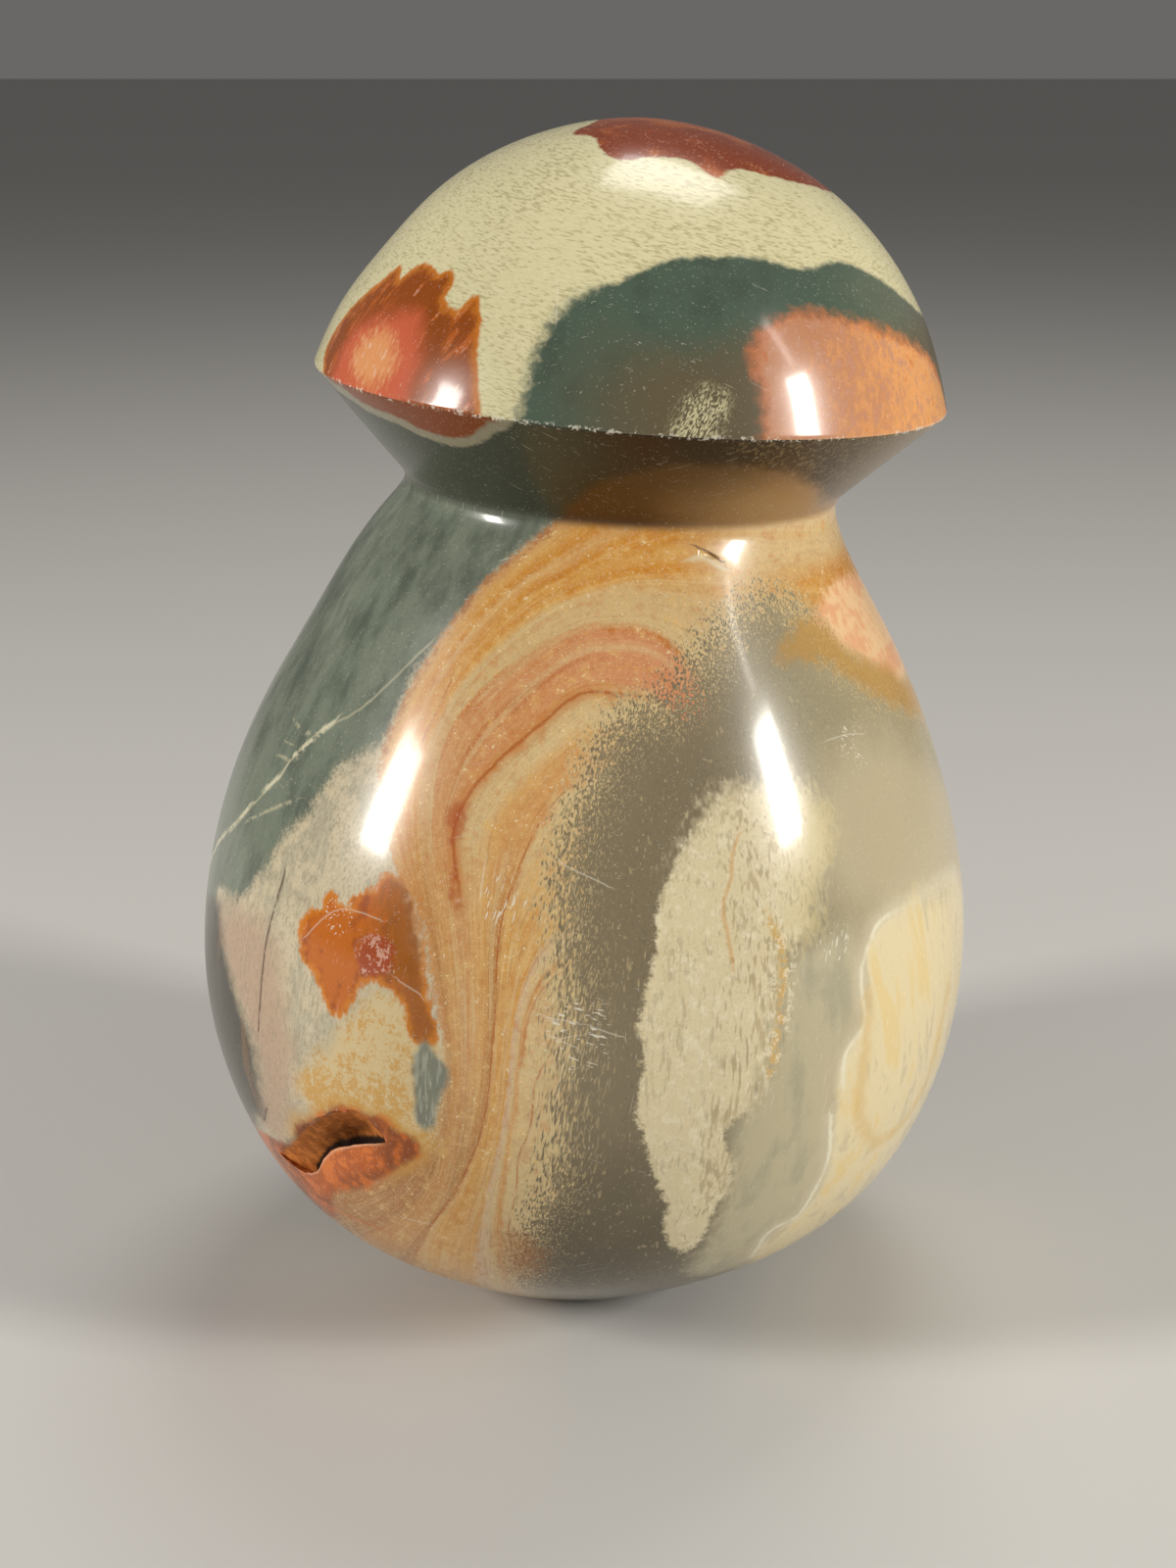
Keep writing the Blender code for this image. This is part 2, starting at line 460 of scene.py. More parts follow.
def sampled(points, closed):
    """A smooth curve through given points, as many short straight steps."""
    points = np.array(points, float)
    if closed:
        points = np.vstack([points[-3:], points, points[:4]])
    lengths = np.hypot(np.diff(points[:, 0]) * DEGREE_WIDTH, np.diff(points[:, 1]))
    knots = np.concatenate([[0], np.cumsum(lengths)])
    first, last = (knots[3], knots[-4]) if closed else (0, knots[-1])
    steps = max(int((last - first) / SAMPLE_STEP), LEAST_STEPS)
    return curve_through(knots, points, np.linspace(first, last, steps + 1))


def nearest_step(curve, east, up, scale):
    """Which point of a curve is nearest to each point of the unrolled surface."""
    nearest = np.empty(len(east), int)
    for begin in range(0, len(east), CHUNK):
        part = slice(begin, begin + CHUNK)
        gap_east = (east[part, None] - curve[None, :, 0]) * scale[part, None]
        gap_up = up[part, None] - curve[None, :, 1]
        nearest[part] = np.argmin(gap_east**2 + gap_up**2, axis=1)
    return nearest


def across(curve, east, up, scale):
    """The distance to a curve, its side, and how far past the curve's ends each point of the surface lies.

    scale is how many millimetres one unit of east is at each point. The right side of the curve, seen along
    its direction, counts as 1 and the left as -1.
    """
    curve = curve.astype(np.float32)
    nearest = nearest_step(curve, east, up, scale)
    distance = np.full(len(east), np.inf)
    side = np.ones(len(east))
    past = np.zeros(len(east))
    for first in (nearest - 1, nearest):
        first = np.clip(first, 0, len(curve) - 2)
        step_east, step_up = (curve[first + 1] - curve[first]).astype(float).T
        step_east = step_east * scale
        gap_east = (east - curve[first, 0]) * scale
        gap_up = up - curve[first, 1]
        length = np.hypot(step_east, step_up) + TINY
        share = (gap_east * step_east + gap_up * step_up) / length**2
        kept = np.clip(share, 0, 1)
        found = np.hypot(gap_east - kept * step_east, gap_up - kept * step_up)
        closer = found < distance
        distance[closer] = found[closer]
        side[closer] = np.where(step_east * gap_up > step_up * gap_east, -1, 1)[closer]
        at_end = (first == 0) & (share < 0) | (first == len(curve) - 2) & (share > 1)
        past[closer] = np.where(at_end, np.abs(share - kept) * length, 0)[closer]
    return distance, side, past


def encloses(curve, east, up):
    """Whether points lie inside a closed curve.

    From a point inside, a line straight to one side crosses the curve an odd number of times.
    """
    crossings = np.zeros(len(east), int)
    for (x0, y0), (x1, y1) in zip(curve[:-1], curve[1:]):
        if y0 != y1:
            between = (y0 > up) != (y1 > up)
            crossings += between & (east < x0 + (up - y0) * (x1 - x0) / (y1 - y0))
    return crossings % 2 == 1


print("a curve's steps are", SAMPLE_STEP, "mm long")

# %% [markdown]
# A zone stores how many millimetres inside its outline each point lies, and a line stores the distance to
# its route and how much of the line is there. In the material, noise then moves the edge by less than a
# millimetre or by several, which makes it crisp, ragged or granular. A curve that passes the back is met
# once more with the bearings shifted by a whole turn.

# %% Zones and lines
FAR = 7.0  # distances are only told apart up to this, in millimetres
LINE_END = 1.5  # a line thins out over this much past its ends
LINE_REACH = 2.4  # further off than this, nothing of a line is left
LINE_FADE = 0.8  # and it fades over this much before


def turns_for(curve):
    """By how many degrees the bearings of the mesh are shifted to meet a curve that passes the back."""
    low, high = curve[:, 0].min(), curve[:, 0].max()
    return [turn for turn in (-360, 0, 360) if low < 180 + turn and high > -180 + turn]


def on_label(curve):
    """The same curve with its heights measured along the surface."""
    return np.column_stack([curve[:, 0], run_up(curve[:, 1])])


def meetings(curve):
    """The points within reach of a curve, once for each turn that meets it.

    Each time it gives which points these are, their bearings, and what across says of them.
    """
    label = on_label(curve)
    (left, low), (right, high) = label.min(axis=0), label.max(axis=0)
    reach = np.degrees(FAR / girth)
    for turn in turns_for(curve):
        east = bearing + turn
        near = (east > left - reach) & (east < right + reach) & (run > low - FAR) & (run < high + FAR)
        yield near, east[near], across(label, east[near], run[near], np.radians(girth[near]))


def zone(name, outline):
    """Stores how far inside an outline each point of the mesh lies."""
    curve = sampled(outline, closed=True)
    inside = np.full(len(bearing), -FAR)
    for near, east, (distance, _, _) in meetings(curve):
        sign = np.where(encloses(curve, east, height[near]), 1, -1)
        found = np.clip(distance * sign, -FAR, FAR)
        inside[near] = np.maximum(inside[near], found)
    store(name, inside)


def line(name, *routes):
    """Stores the distance to thin lines, signed by side, and how much of a line is there at each point."""
    side_distance = np.full(len(bearing), FAR)
    presence = np.zeros(len(bearing))
    for route in routes:
        for near, _, (distance, side, past) in meetings(sampled(route, closed=False)):
            closer = distance < np.abs(side_distance[near])
            chosen = np.flatnonzero(near)[closer]
            side_distance[chosen] = (distance * side)[closer]
            before_end = np.clip(1 - past / LINE_END, 0, 1)
            in_reach = np.clip((LINE_REACH - distance) / LINE_FADE, 0, 1)
            presence[chosen] = (before_end * in_reach)[closer]
    store(name, side_distance)
    store(name + "_there", presence)


print("zones and lines are stored on", len(bearing), "points")

# %% [markdown]
# The most striking zone is a flow of tan, orange and salmon stone that climbs the front from the lower
# left and arches over below the neck. Its bands follow six contours, nested like the arches of a gate.
# The first is its outer edge, towards the green. The inner ones start low on the left, climb, turn over
# to the right, and go down again where taupe stone covers them. Between two contours the stone is at a
# fraction, so a point's flow is a number from 0 to 5, and a ramp over that number gives bands that bend
# as the contours do. Behind the stone, where nobody looked, the flow sinks from right to left. Only its
# outer half goes round there, so the three inner contours end a little past the sides of the front.

# %% Flow contours
FLOW_CONTOURS = (
    # outer edge
    [(-74, 2), (-60, 14.5), (-46, 20.5), (-36, 24.5), (-27, 28.5), (-21.5, 32.5), (-19, 38), (-19, 44),
     (-20.5, 50), (-23.5, 56), (-29, 60.5), (-33.5, 65), (-35, 70.5), (-34, 75), (-29.5, 80.5),
     (-21.5, 86.5), (-9, 91), (0, 95), (8, 97.5), (28, 98.5), (42, 96.5), (52, 94), (62, 92), (80, 92),
     (100, 93), (125, 92), (150, 86), (180, 74), (205, 60), (228, 47), (250, 36), (263, 28), (272, 14),
     (277, 2)],
    # the lower of the yellow stripes
    [(-66, 2), (-54, 10), (-42, 15.5), (-32, 20), (-24, 25.5), (-20, 31.5), (-18, 38), (-18, 44),
     (-19.5, 50), (-22, 56), (-25, 61.5), (-27, 67), (-27, 72), (-25, 76), (-20.5, 79.5), (-16, 82),
     (-9.5, 84.5), (1, 86.5), (8.5, 87.5), (23.5, 87.5), (45, 87), (70, 86), (100, 85), (130, 80),
     (155, 73), (180, 62), (205, 50), (228, 39.5), (250, 31), (262, 23), (270, 12), (275, 2)],
    # the top of the salmon band
    [(-60, 2), (-50, 8), (-38, 14), (-29, 19), (-22, 25), (-18.5, 31.5), (-17, 38), (-17, 44),
     (-18, 50), (-20, 56), (-22.5, 61.5), (-24, 67), (-23.5, 72), (-17.5, 77), (-6.5, 81), (1, 82.5),
     (7, 82.5), (13, 82), (18.5, 80), (24, 75), (32, 70), (45, 66), (60, 63), (80, 59), (105, 54),
     (130, 48), (155, 41), (180, 33), (205, 26), (228, 20), (250, 15), (262, 10), (268, 5), (271, 2)],
    # the red line below it
    [(-54, 2), (-45, 8), (-34, 13.5), (-26, 19), (-20, 25), (-17, 31.5), (-15.5, 38), (-15, 44),
     (-15.5, 51), (-17, 57), (-18.5, 60.5), (-19.5, 63.5), (-17.5, 67.5), (-12.5, 71), (-5.5, 74.5),
     (0, 76.5), (5, 76.5), (11, 76), (16, 73.5), (20, 66), (22, 56), (23, 44), (23, 28), (22, 12),
     (20, 2)],
    # the fine red line in the middle of the flow
    [(-48, 2), (-40, 8), (-31, 14), (-24.5, 20), (-19.5, 25), (-15.5, 30.5), (-13, 36), (-12, 42),
     (-11.5, 49), (-11, 56.5), (-9, 61), (-6, 65.5), (-2.5, 68), (1, 69.5), (5, 70), (10, 68), (14, 61),
     (16, 51), (17, 38), (17, 24), (15, 12), (14, 2)],
    # the innermost line
    [(-13, 2), (-12, 10), (-11.5, 20), (-10.5, 28), (-9, 35), (-8, 42), (-7, 47), (-5, 50),
     (-2.5, 51.5), (1, 51.5), (5, 50), (8, 46), (9.5, 38), (9.5, 24), (8, 10), (7, 2)],
)
TAUPE_EDGE = [
    (-12.5, 2), (-11, 13), (-8.5, 20), (-7, 24), (-4.5, 29), (-3.5, 34), (-3, 40), (-2.5, 46),
    (-2.5, 53), (-3.5, 58), (-3, 61.5), (-2, 65), (1, 69), (4, 73), (9, 75), (15, 76), (20, 78.5),
    (26, 80.5), (32, 82.5), (40, 83.5), (48, 82), (52, 78), (57, 75), (64, 72.5), (74, 69), (88, 64.5),
    (105, 60), (130, 54), (155, 46), (180, 38), (205, 31), (228, 25), (250, 20), (262, 15), (267, 8),
    (271, 2),
]

FLOW_FAR = 100.0
FLOW_CEILING = RIM.height + 3  # the dome has no flow
LEAST_GAP = 0.05  # the least width of the flow between two contours, in millimetres
ARCHES_END_LEFT, ARCHES_END_RIGHT = -80, 70


def beyond(contour):
    """How many millimetres inside a contour each point lies, with a minus for those outside it."""
    coarse = on_label(sampled(contour, closed=False)[::2])
    best = np.full(len(bearing), FLOW_FAR)
    below_dome = np.flatnonzero(height < FLOW_CEILING)
    scale = np.radians(girth[below_dome])
    for turn in turns_for(coarse):
        distance, side, _ = across(coarse, bearing[below_dome] + turn, run[below_dome], scale)
        closer = distance < np.abs(best[below_dome])
        best[below_dome[closer]] = (distance * side)[closer]
    return best


depths_in = [beyond(contour) for contour in FLOW_CONTOURS]
behind = (bearing > ARCHES_END_RIGHT) | (bearing < ARCHES_END_LEFT)
for depth in depths_in[3:]:
    depth[behind] = -FLOW_FAR
flow = sum(
    np.clip(outer / np.maximum(outer - inner, LEAST_GAP), 0, 1)
    for outer, inner in zip(depths_in, depths_in[1:])
)
store("flow", flow)
store("flow_outer", np.clip(depths_in[0], -FAR, FAR))
store("taupe", np.clip(beyond(TAUPE_EDGE), -FAR, FAR))
print("the flow covers", round(float(np.mean((flow > 0) & (flow < 5))) * 100), "percent of the points")

# %% [markdown]
# The other zones of the stem are drawn the same way. A list of points goes once round each zone. Where
# one zone is covered by another that is painted later, its outline is only rough there. The left of the
# stem comes first: the grey-green, the mauve and a zone painted dark below it at the left side, the orange
# blot like a mitten, and the ring of rust round the cavity.

# %% Zones at the left of the stem
zone("green", [
    (-8, 91), (-15.5, 88.5), (-23.5, 84.5), (-29.5, 80.5), (-32.5, 77.5), (-34.5, 73), (-37, 70),
    (-43, 67.5), (-45, 65), (-48, 61.5), (-51.5, 59.5), (-53, 57), (-57, 53), (-61, 51), (-69, 50),
    (-73, 48), (-82, 46.5), (-97, 46), (-112, 49), (-126, 54), (-140, 61), (-155, 69), (-168, 77),
    (-180, 84), (-189, 92), (-194, 101), (-188, 109), (-120, 111), (-60, 109), (-14, 107), (3, 103),
    (3, 98), (0, 94.5), (-4, 92.5),
])
zone("mauve", [
    (-66, 49), (-56, 50.5), (-49.5, 49.5), (-46, 44), (-43.5, 38), (-45.5, 32), (-49, 27.5),
    (-55, 24.5), (-58, 27), (-54.5, 31), (-53.5, 36), (-57, 40), (-64, 43), (-70, 45.5),
])
zone("dark_left", [
    (-88, 47.5), (-76, 49.5), (-69, 48.5), (-64, 45), (-60, 42), (-56.5, 39), (-53.5, 36),
    (-54.5, 31.5), (-55, 28.5), (-59, 25.5), (-66, 22), (-76, 17), (-95, 13), (-118, 17), (-132, 27),
    (-124, 38), (-104, 45),
])
zone("mitten", [
    (-44, 51), (-43, 53), (-42, 53.5), (-40, 54), (-39.5, 55.5), (-38, 56), (-36.5, 55), (-34.5, 55),
    (-34.5, 56.5), (-32, 57), (-29.5, 59), (-26, 58.5), (-23.5, 56), (-21.5, 51), (-20, 46),
    (-19.5, 43.5), (-22.5, 43), (-24.5, 46), (-27, 48), (-31, 48), (-32, 46.5), (-33.5, 45),
    (-34.5, 43.5), (-36.5, 44), (-38, 45.5), (-40, 47.5), (-42.5, 48.5), (-43.5, 50),
])
zone("mottle", [
    (-31.5, 45.5), (-36, 41.5), (-40, 38), (-43.5, 34), (-40, 32), (-34, 31), (-22, 31), (-19, 38),
    (-19, 44), (-23, 46.5), (-27.5, 48),
])
zone("lens", [
    (-22.5, 42.5), (-23, 39.5), (-23, 36), (-22.5, 34), (-21, 33.5), (-20, 35), (-18.5, 38.5),
    (-18, 41), (-19.5, 42), (-21.5, 43.5),
])
zone("mitten_core", [
    (-32.5, 50.5), (-31, 52.5), (-29, 53), (-26.5, 52), (-27, 50), (-28.5, 49), (-31.5, 49),
])
zone("foot_stain", [
    (-11.5, 20.5), (-9.5, 21.5), (-7.5, 19.5), (-8, 15.5), (-11.5, 14.5), (-12.5, 17.5),
])
zone("pit_ring", [
    (-70, 20.5), (-65, 22.5), (-59, 24), (-52, 25), (-48, 26), (-46, 29), (-42.5, 30.5), (-38.5, 32.5),
    (-35.5, 34), (-31, 34), (-28, 34), (-26, 33), (-23.5, 32.5), (-22.5, 31), (-25, 29), (-27.5, 27.5),
    (-31, 25.5), (-35, 23.5), (-40, 22), (-44, 19.5), (-47, 16), (-52, 14), (-62, 12.5), (-72, 14.5),
    (-76, 18),
])
zone("red_blots", [
    (-20, 66.5), (-18, 66.5), (-18, 63.5), (-18, 60.5), (-17, 58), (-16.5, 56.5), (-17.5, 56.5),
    (-19, 59), (-19.5, 62),
])
print("the zones at the left of the stem are drawn")

# %% [markdown]
# At the right stand the cream band, a grey one beside it and the pale chalcedony. Above them a salmon
# patch with an ochre edge comes round from the side.

# %% Zones at the right of the stem
zone("cream_band", [
    (25.5, 67.5), (21, 67), (17, 64.5), (14, 62), (12, 59.5), (10.5, 57), (9, 51.5), (7.5, 46),
    (8, 42.5), (7.5, 39.5), (7, 36.5), (8, 34), (9.5, 30.5), (10.5, 28), (12, 24.5), (12.5, 21),
    (14.5, 18.5), (16.5, 18), (18.5, 19.5), (19, 22), (20, 25), (21, 28), (20.5, 30.5), (19, 34),
    (23, 36), (24.5, 38.5), (26.5, 42.5), (27, 44.5), (28, 49), (29, 51.5), (33, 52), (34.5, 54.5),
    (35.5, 57), (38.5, 59.5), (40.5, 61.5), (39.5, 64.5), (32.5, 67.5),
])
zone("second_grey", [
    (24, 38), (27, 43), (28, 48), (32, 51.5), (38, 52.5), (42, 49), (41.5, 43), (38.5, 40), (37, 34),
    (37.5, 26), (36, 19), (33, 14), (27, 11.5), (20, 13), (19, 18), (20.5, 23), (21, 28), (20.5, 33),
])
zone("agate", [
    (44, 50.5), (42.5, 49), (42.5, 46), (42, 42.5), (40.5, 41), (38.5, 39.5), (37.5, 34), (38.5, 27),
    (37, 20), (31, 14.5), (34.5, 11.5), (44, 9), (60, 8), (80, 7), (98, 8), (114, 13), (124, 21),
    (121, 32), (109, 41), (95, 46), (80, 49), (70, 50.5), (60, 51.5), (50, 52),
])
zone("right_salmon", [
    (45, 79.5), (50.5, 81), (56, 82), (62.5, 83), (72.5, 83), (87, 81.5), (102, 78), (112, 73),
    (104, 69.5), (92, 70.5), (80, 71.5), (72.5, 72), (68, 73.5), (63, 75.5), (57, 77.5), (51, 78.5),
])
zone("right_ochre", [
    (39, 78.5), (43.5, 80), (48, 81), (51.5, 81), (55, 79.5), (57, 77.5), (62, 75.5), (70, 74),
    (77, 71), (88, 69), (90, 66.5), (76, 68), (66, 70.5), (60, 72.5), (54, 75), (50, 77), (44, 77.5),
])
zone("pale_right", [
    (40, 67), (50, 69.5), (62, 68), (76, 63), (92, 57), (100, 49), (96, 43), (80, 46), (60, 50),
    (46, 52), (39, 55),
])
print("the zones at the right of the stem are drawn")

# %% [markdown]
# The cap is cream with a green-grey band over the front right, a salmon patch in that band, a rust-red
# patch at the left, and a small pale tuft by the rim. The rust patch runs on round the rim to the
# underside. The rim and the neck are told from the height above their leaning planes, so that what
# belongs to the dome doesn't spill to the underside. The red patch on the crown is drawn in plan, in
# millimetres to the right and to the back, since bearings mean nothing at the very top.

# %% Zones of the cap
CROWN_PATCH = [
    (2, 3), (1.5, -1), (0, -4.5), (-1, -6.5), (0.5, -8), (1.5, -10.5), (2.5, -13.5), (4, -14.5),
    (6.5, -14), (9.5, -13.5), (11.5, -14.5), (13, -15.5), (14.5, -13.5), (17, -12), (20, -10.5),
    (22, -8.5), (24, -6), (25.5, -3), (26, 1), (24, 5.5), (20, 8), (15.5, 8.5), (12, 11), (8, 12.5),
    (4.5, 10), (4, 6),
]


def above_plane(ring):
    """How far each point lies above the leaning plane of a ring, in millimetres."""
    lean = math.radians(ring.lean)
    return (places[:, 0] - ring.shift) * math.sin(lean) + (height - ring.height) * math.cos(lean)


store("above_rim", np.clip(above_plane(RIM), -FAR, FAR))
store("above_neck", np.clip(above_plane(NECK), -FAR, FAR))

crown_curve = sampled(CROWN_PATCH, closed=True)
crown_distance, _, _ = across(crown_curve, places[:, 0], places[:, 1], np.ones(len(places)))
crown_sign = np.where(encloses(crown_curve, places[:, 0], places[:, 1]), 1, -1)
crown_field = np.clip(crown_distance * crown_sign, -FAR, FAR)
store("crown_patch", np.where(height > RIM.height, crown_field, -FAR))

zone("teal", [
    (-11, 101), (-11, 103.5), (-9.5, 107), (-8, 110), (-5, 112.5), (-1.5, 114), (7.5, 115.5),
    (15.5, 117), (28.5, 117.5), (38.5, 117), (46, 116), (53.5, 116.5), (61.5, 115.5), (70, 113),
    (78.5, 110.5), (90, 109), (104, 107.5), (120, 108), (136, 109), (148, 107), (155, 102), (150, 98),
    (90, 94), (40, 96),
])
zone("cap_salmon", [
    (27.5, 98), (28, 102), (29, 105), (28.5, 108), (30, 110), (35, 112), (40, 112.5), (50.5, 111.5),
    (58.5, 110), (68, 108), (74, 106), (79, 103), (81, 99.5), (78, 96), (50, 95),
])
zone("rust_patch", [
    (-66, 102), (-67.5, 105), (-70.5, 106), (-72, 107.5), (-70.5, 109), (-68.5, 110.5), (-65, 112),
    (-61, 113.5), (-58, 114.5), (-55, 115.5), (-53, 115.5), (-50.5, 114.5), (-48, 115.5), (-45.5, 116),
    (-40, 116), (-36.5, 115.5), (-34, 116), (-32, 115.5), (-30.5, 114.5), (-31.5, 113.5), (-30.5, 113),
    (-28.5, 112.5), (-26.5, 112.5), (-25, 113.5), (-23, 114), (-21.5, 113), (-20.5, 112), (-20, 109.5),
    (-19, 107), (-17.5, 103.5), (-17, 101), (-40, 100.5),
])
zone("red_core", [
    (-60, 102), (-61, 106), (-57, 109.5), (-50, 111), (-43, 112), (-37, 111.5), (-33.5, 109.5),
    (-33, 105), (-35, 101.5),
])
zone("core_spot", [
    (-54, 106.5), (-51.5, 109), (-46, 110), (-41.5, 109), (-40, 106.5), (-44, 105), (-50, 105),
])
zone("rust_under", [
    (-66, 107), (-65, 104.5), (-60, 104), (-50, 102.5), (-42, 102), (-38, 101.5), (-35, 101),
    (-30, 100.5), (-25, 100.5), (-20, 101.5), (-17, 102.5), (-14, 103.5), (-14, 107),
])
zone("tuft", [
    (15, 100.5), (15, 103.5), (18, 105.5), (21, 106), (23.5, 105), (22.5, 103.5), (21, 102.5),
    (20.5, 100.5),
])
zone("olive_under", [
    (24, 104), (26, 99), (34, 98), (42, 96.5), (46, 96), (52, 94), (60, 92), (70, 91), (90, 91),
    (115, 92), (140, 94), (150, 99), (140, 108), (80, 105), (40, 106),
])
print("the cap's zones are drawn")

# %% [markdown]
# Thin lines can't be told from a zone's edge, so each has a route of its own. The attribute is the
# distance to the line, positive on one side of it and negative on the other: the passage through zero
# falls exactly on the line even between two points of the mesh, so a line may be far thinner than a face
# is wide.

# %% Thin lines
line("vein", [
    (-95, 44), (-84, 49), (-74.5, 54.5), (-66.5, 58.5), (-62.5, 61), (-58, 64.5), (-55.5, 67),
    (-50.5, 70), (-45, 72), (-41, 74), (-36.5, 77), (-31.5, 80),
])
line(
    "vein_knots",
    [(-88, 47), (-84, 49), (-78, 52.5), (-74.5, 54.5), (-69, 57), (-64.5, 60)],
    [(-61.5, 62), (-59, 63.5), (-57.5, 64.5)],
    [(-56, 66.5), (-52, 69), (-48.5, 71)],
)
line(
    "vein_twigs",
    [(-60.5, 69.5), (-57.5, 69), (-54, 69)],
    [(-60.5, 66), (-57.5, 66), (-55, 66.5)],
    [(-64, 58.5), (-57, 61), (-51, 63)],
    [(-86, 53), (-91, 57), (-98, 58.5), (-106, 62)],
)
line(
    "cracks",
    [(-49, 56), (-49.5, 53.5), (-50.5, 50), (-51, 46), (-51.5, 41), (-52, 38.5)],
    [(-53.5, 29), (-55, 27.5), (-57, 26)],
)
line(
    "red_threads",
    [(-3, 44.5), (-5.5, 41.5), (-6.5, 38.5), (-7, 35), (-8.5, 32), (-9, 29), (-9.5, 26.5), (-11, 22),
     (-11, 18.5)],
    [(-25, 77), (-26, 75), (-27.5, 72), (-28, 68)],
)
line(
    "agate_rims",
    [(75, 50.5), (62, 52), (57, 52), (50, 52), (45.5, 51.5), (43.5, 50), (42, 48.5), (41.5, 44.5),
     (41, 41), (39, 40), (38, 38.5), (38, 36)],
    [(36.5, 32.5), (37.5, 29), (38, 26), (37.5, 23.5), (37, 21.5), (35.5, 19), (32, 18.5), (31, 15.5),
     (31.5, 13.5)],
)
line("ochre_contour", [
    (42.5, 45), (42, 38), (42, 33.5), (43, 30.5), (47, 27), (50.5, 25.5), (55, 25.5), (60.5, 27),
    (63, 29.5), (64, 34), (66, 40),
])
line("ochre_edge", [
    (26.5, 55), (27.5, 53), (28, 50.5), (27.5, 48), (27, 44.5), (26.5, 43), (26, 41), (25.5, 39.5),
])
line("orange_seam", [(23.5, 63), (22, 61.5), (21.5, 59.5), (20, 57.5), (20, 54.5), (20.5, 51)])
line(
    "scratches",
    [(-3, 61.5), (3.5, 59.5)],
    [(-5, 47), (-0.5, 46.5)],
    [(1.5, 46), (5, 45)],
    [(-4, 45), (-1, 44)],
    [(-25.5, 49), (-22, 48)],
    [(-28.5, 21), (-24, 21)],
    [(44, 70), (48, 70), (52.5, 69.5)],
    [(-42.5, 50.5), (-39.5, 53), (-36.5, 54.5), (-29.5, 54.5)],
    [(-14.5, 58), (-14, 61.5)],
    [(-5, 115), (-5, 112)],
    [(13, 32.5), (16, 31.5)],
)
# Painted light and shadow on the chip below the neck: a shadow along its edge and light on its face.
line("chip_edge", [(27, 89), (29.5, 88.5), (32, 87.5)])
line("chip_face", [(25, 88), (28, 88), (31.5, 87)])
print("the lines are drawn")

# %% [markdown]
# The stone is one material, painted in layers: each layer is a colour and a mask, and the mask says where
# it covers what is below it. Masks are sums on the stored distances and on noise. To write such sums as
# plain Python, a small class wraps the output of a node, and its operators add Math nodes. Colours have a
# Mix node and positions have Vector Math, because a Math node would turn them into one number.

# %% Writing nodes as expressions
jasper = bpy.data.materials.new("polished_jasper")
jasper.use_nodes = True
tree = jasper.node_tree


class Field:
    """A value that varies over the surface: one output of a node."""

    def __init__(self, socket):
        self.socket = socket

    @classmethod
    def node(cls, kind, settings, sockets, output=0):
        """Adds a node, sets it, and fills its sockets with numbers, colours or other fields."""
        added = tree.nodes.new("ShaderNode" + kind)
        for setting, value in settings.items():
            if setting == "stops":
                marks = added.color_ramp.elements
                marks.remove(marks[1])
                marks[0].position, marks[0].color = value[0]
                for place, shade in value[1:]:
                    marks.new(place).color = shade
            else:
                setattr(added, setting, value)
        for name, value in sockets.items():
            if isinstance(value, Field):
                tree.links.new(value.socket, added.inputs[name])
            else:
                added.inputs[name].default_value = value
        return cls(added.outputs[output])

    def maths(self, operation, *others):
        return Field.node("Math", {"operation": operation}, dict(enumerate([self, *others])))

    def __add__(self, other):
        return self.maths("ADD", other)

    def __sub__(self, other):
        return self.maths("SUBTRACT", other)

    def __mul__(self, other):
        return self.maths("MULTIPLY", other)

    def __truediv__(self, other):
        return self.maths("DIVIDE", other)

    def __rsub__(self, other):
        return Field.node("Math", {"operation": "SUBTRACT"}, {0: other, 1: self})

    def __abs__(self):
        return self.maths("ABSOLUTE")

    __radd__ = __add__
    __rmul__ = __mul__


print("expressions now add nodes to", jasper.name)

# %% [markdown]
# A few nodes come so often that each gets a short name here: a stored attribute, a smooth step, the
# larger of two values, a stretched position, noise, a layer of colour over another, and a ramp. Colours
# are given as they look on a screen, and turned into the linear values that light works with.

# %% Short names for nodes
def attribute(name):
    return Field.node("Attribute", {"attribute_name": name}, {}, "Fac")


def rise(value, low, high):
    """0 below low, 1 above high, and a smooth rise between. With low above high it falls instead."""
    return Field.node("MapRange", {"interpolation_type": "SMOOTHSTEP"}, {0: value, 1: low, 2: high})


def either(first, second):
    return first.maths("MAXIMUM", second)


def stretched(point, size, turn=(0, 0, 0)):
    """A position for noise whose grains have the given sizes, in millimetres, and are turned by degrees."""
    angles = [math.radians(angle) for angle in turn]
    lengths = [MM * length for length in size]
    sockets = {"Vector": point, "Rotation": angles, "Scale": lengths}
    return Field.node("Mapping", {"vector_type": "TEXTURE"}, sockets)


def noise(point, detail, roughness=0.55):
    """Noise from 0 to 1, mostly between 0.3 and 0.7. Its lumps are one unit of the position wide."""
    sockets = {"Vector": point, "Scale": 1.0, "Detail": detail, "Roughness": roughness}
    return Field.node("TexNoise", {"noise_dimensions": "3D"}, sockets)


def linear(value):
    """A screen's 0 to 255 as the share of light that it stands for, by the sRGB standard."""
    share = value / 255
    return share / 12.92 if share <= 0.04045 else ((share + 0.055) / 1.055) ** 2.4


def rgb(red, green, blue):
    return (linear(red), linear(green), linear(blue), 1.0)


def blend(below, above, mask):
    """One colour laid over another where the mask is 1."""
    return Field.node("Mix", {"data_type": "RGBA"}, {0: mask, 6: below, 7: above}, 2)


def ramp(value, stops):
    return Field.node("ValToRGB", {"stops": stops}, {0: value})


print("a middle grey of 128 lets through", round(linear(128) * 100), "percent of the light")

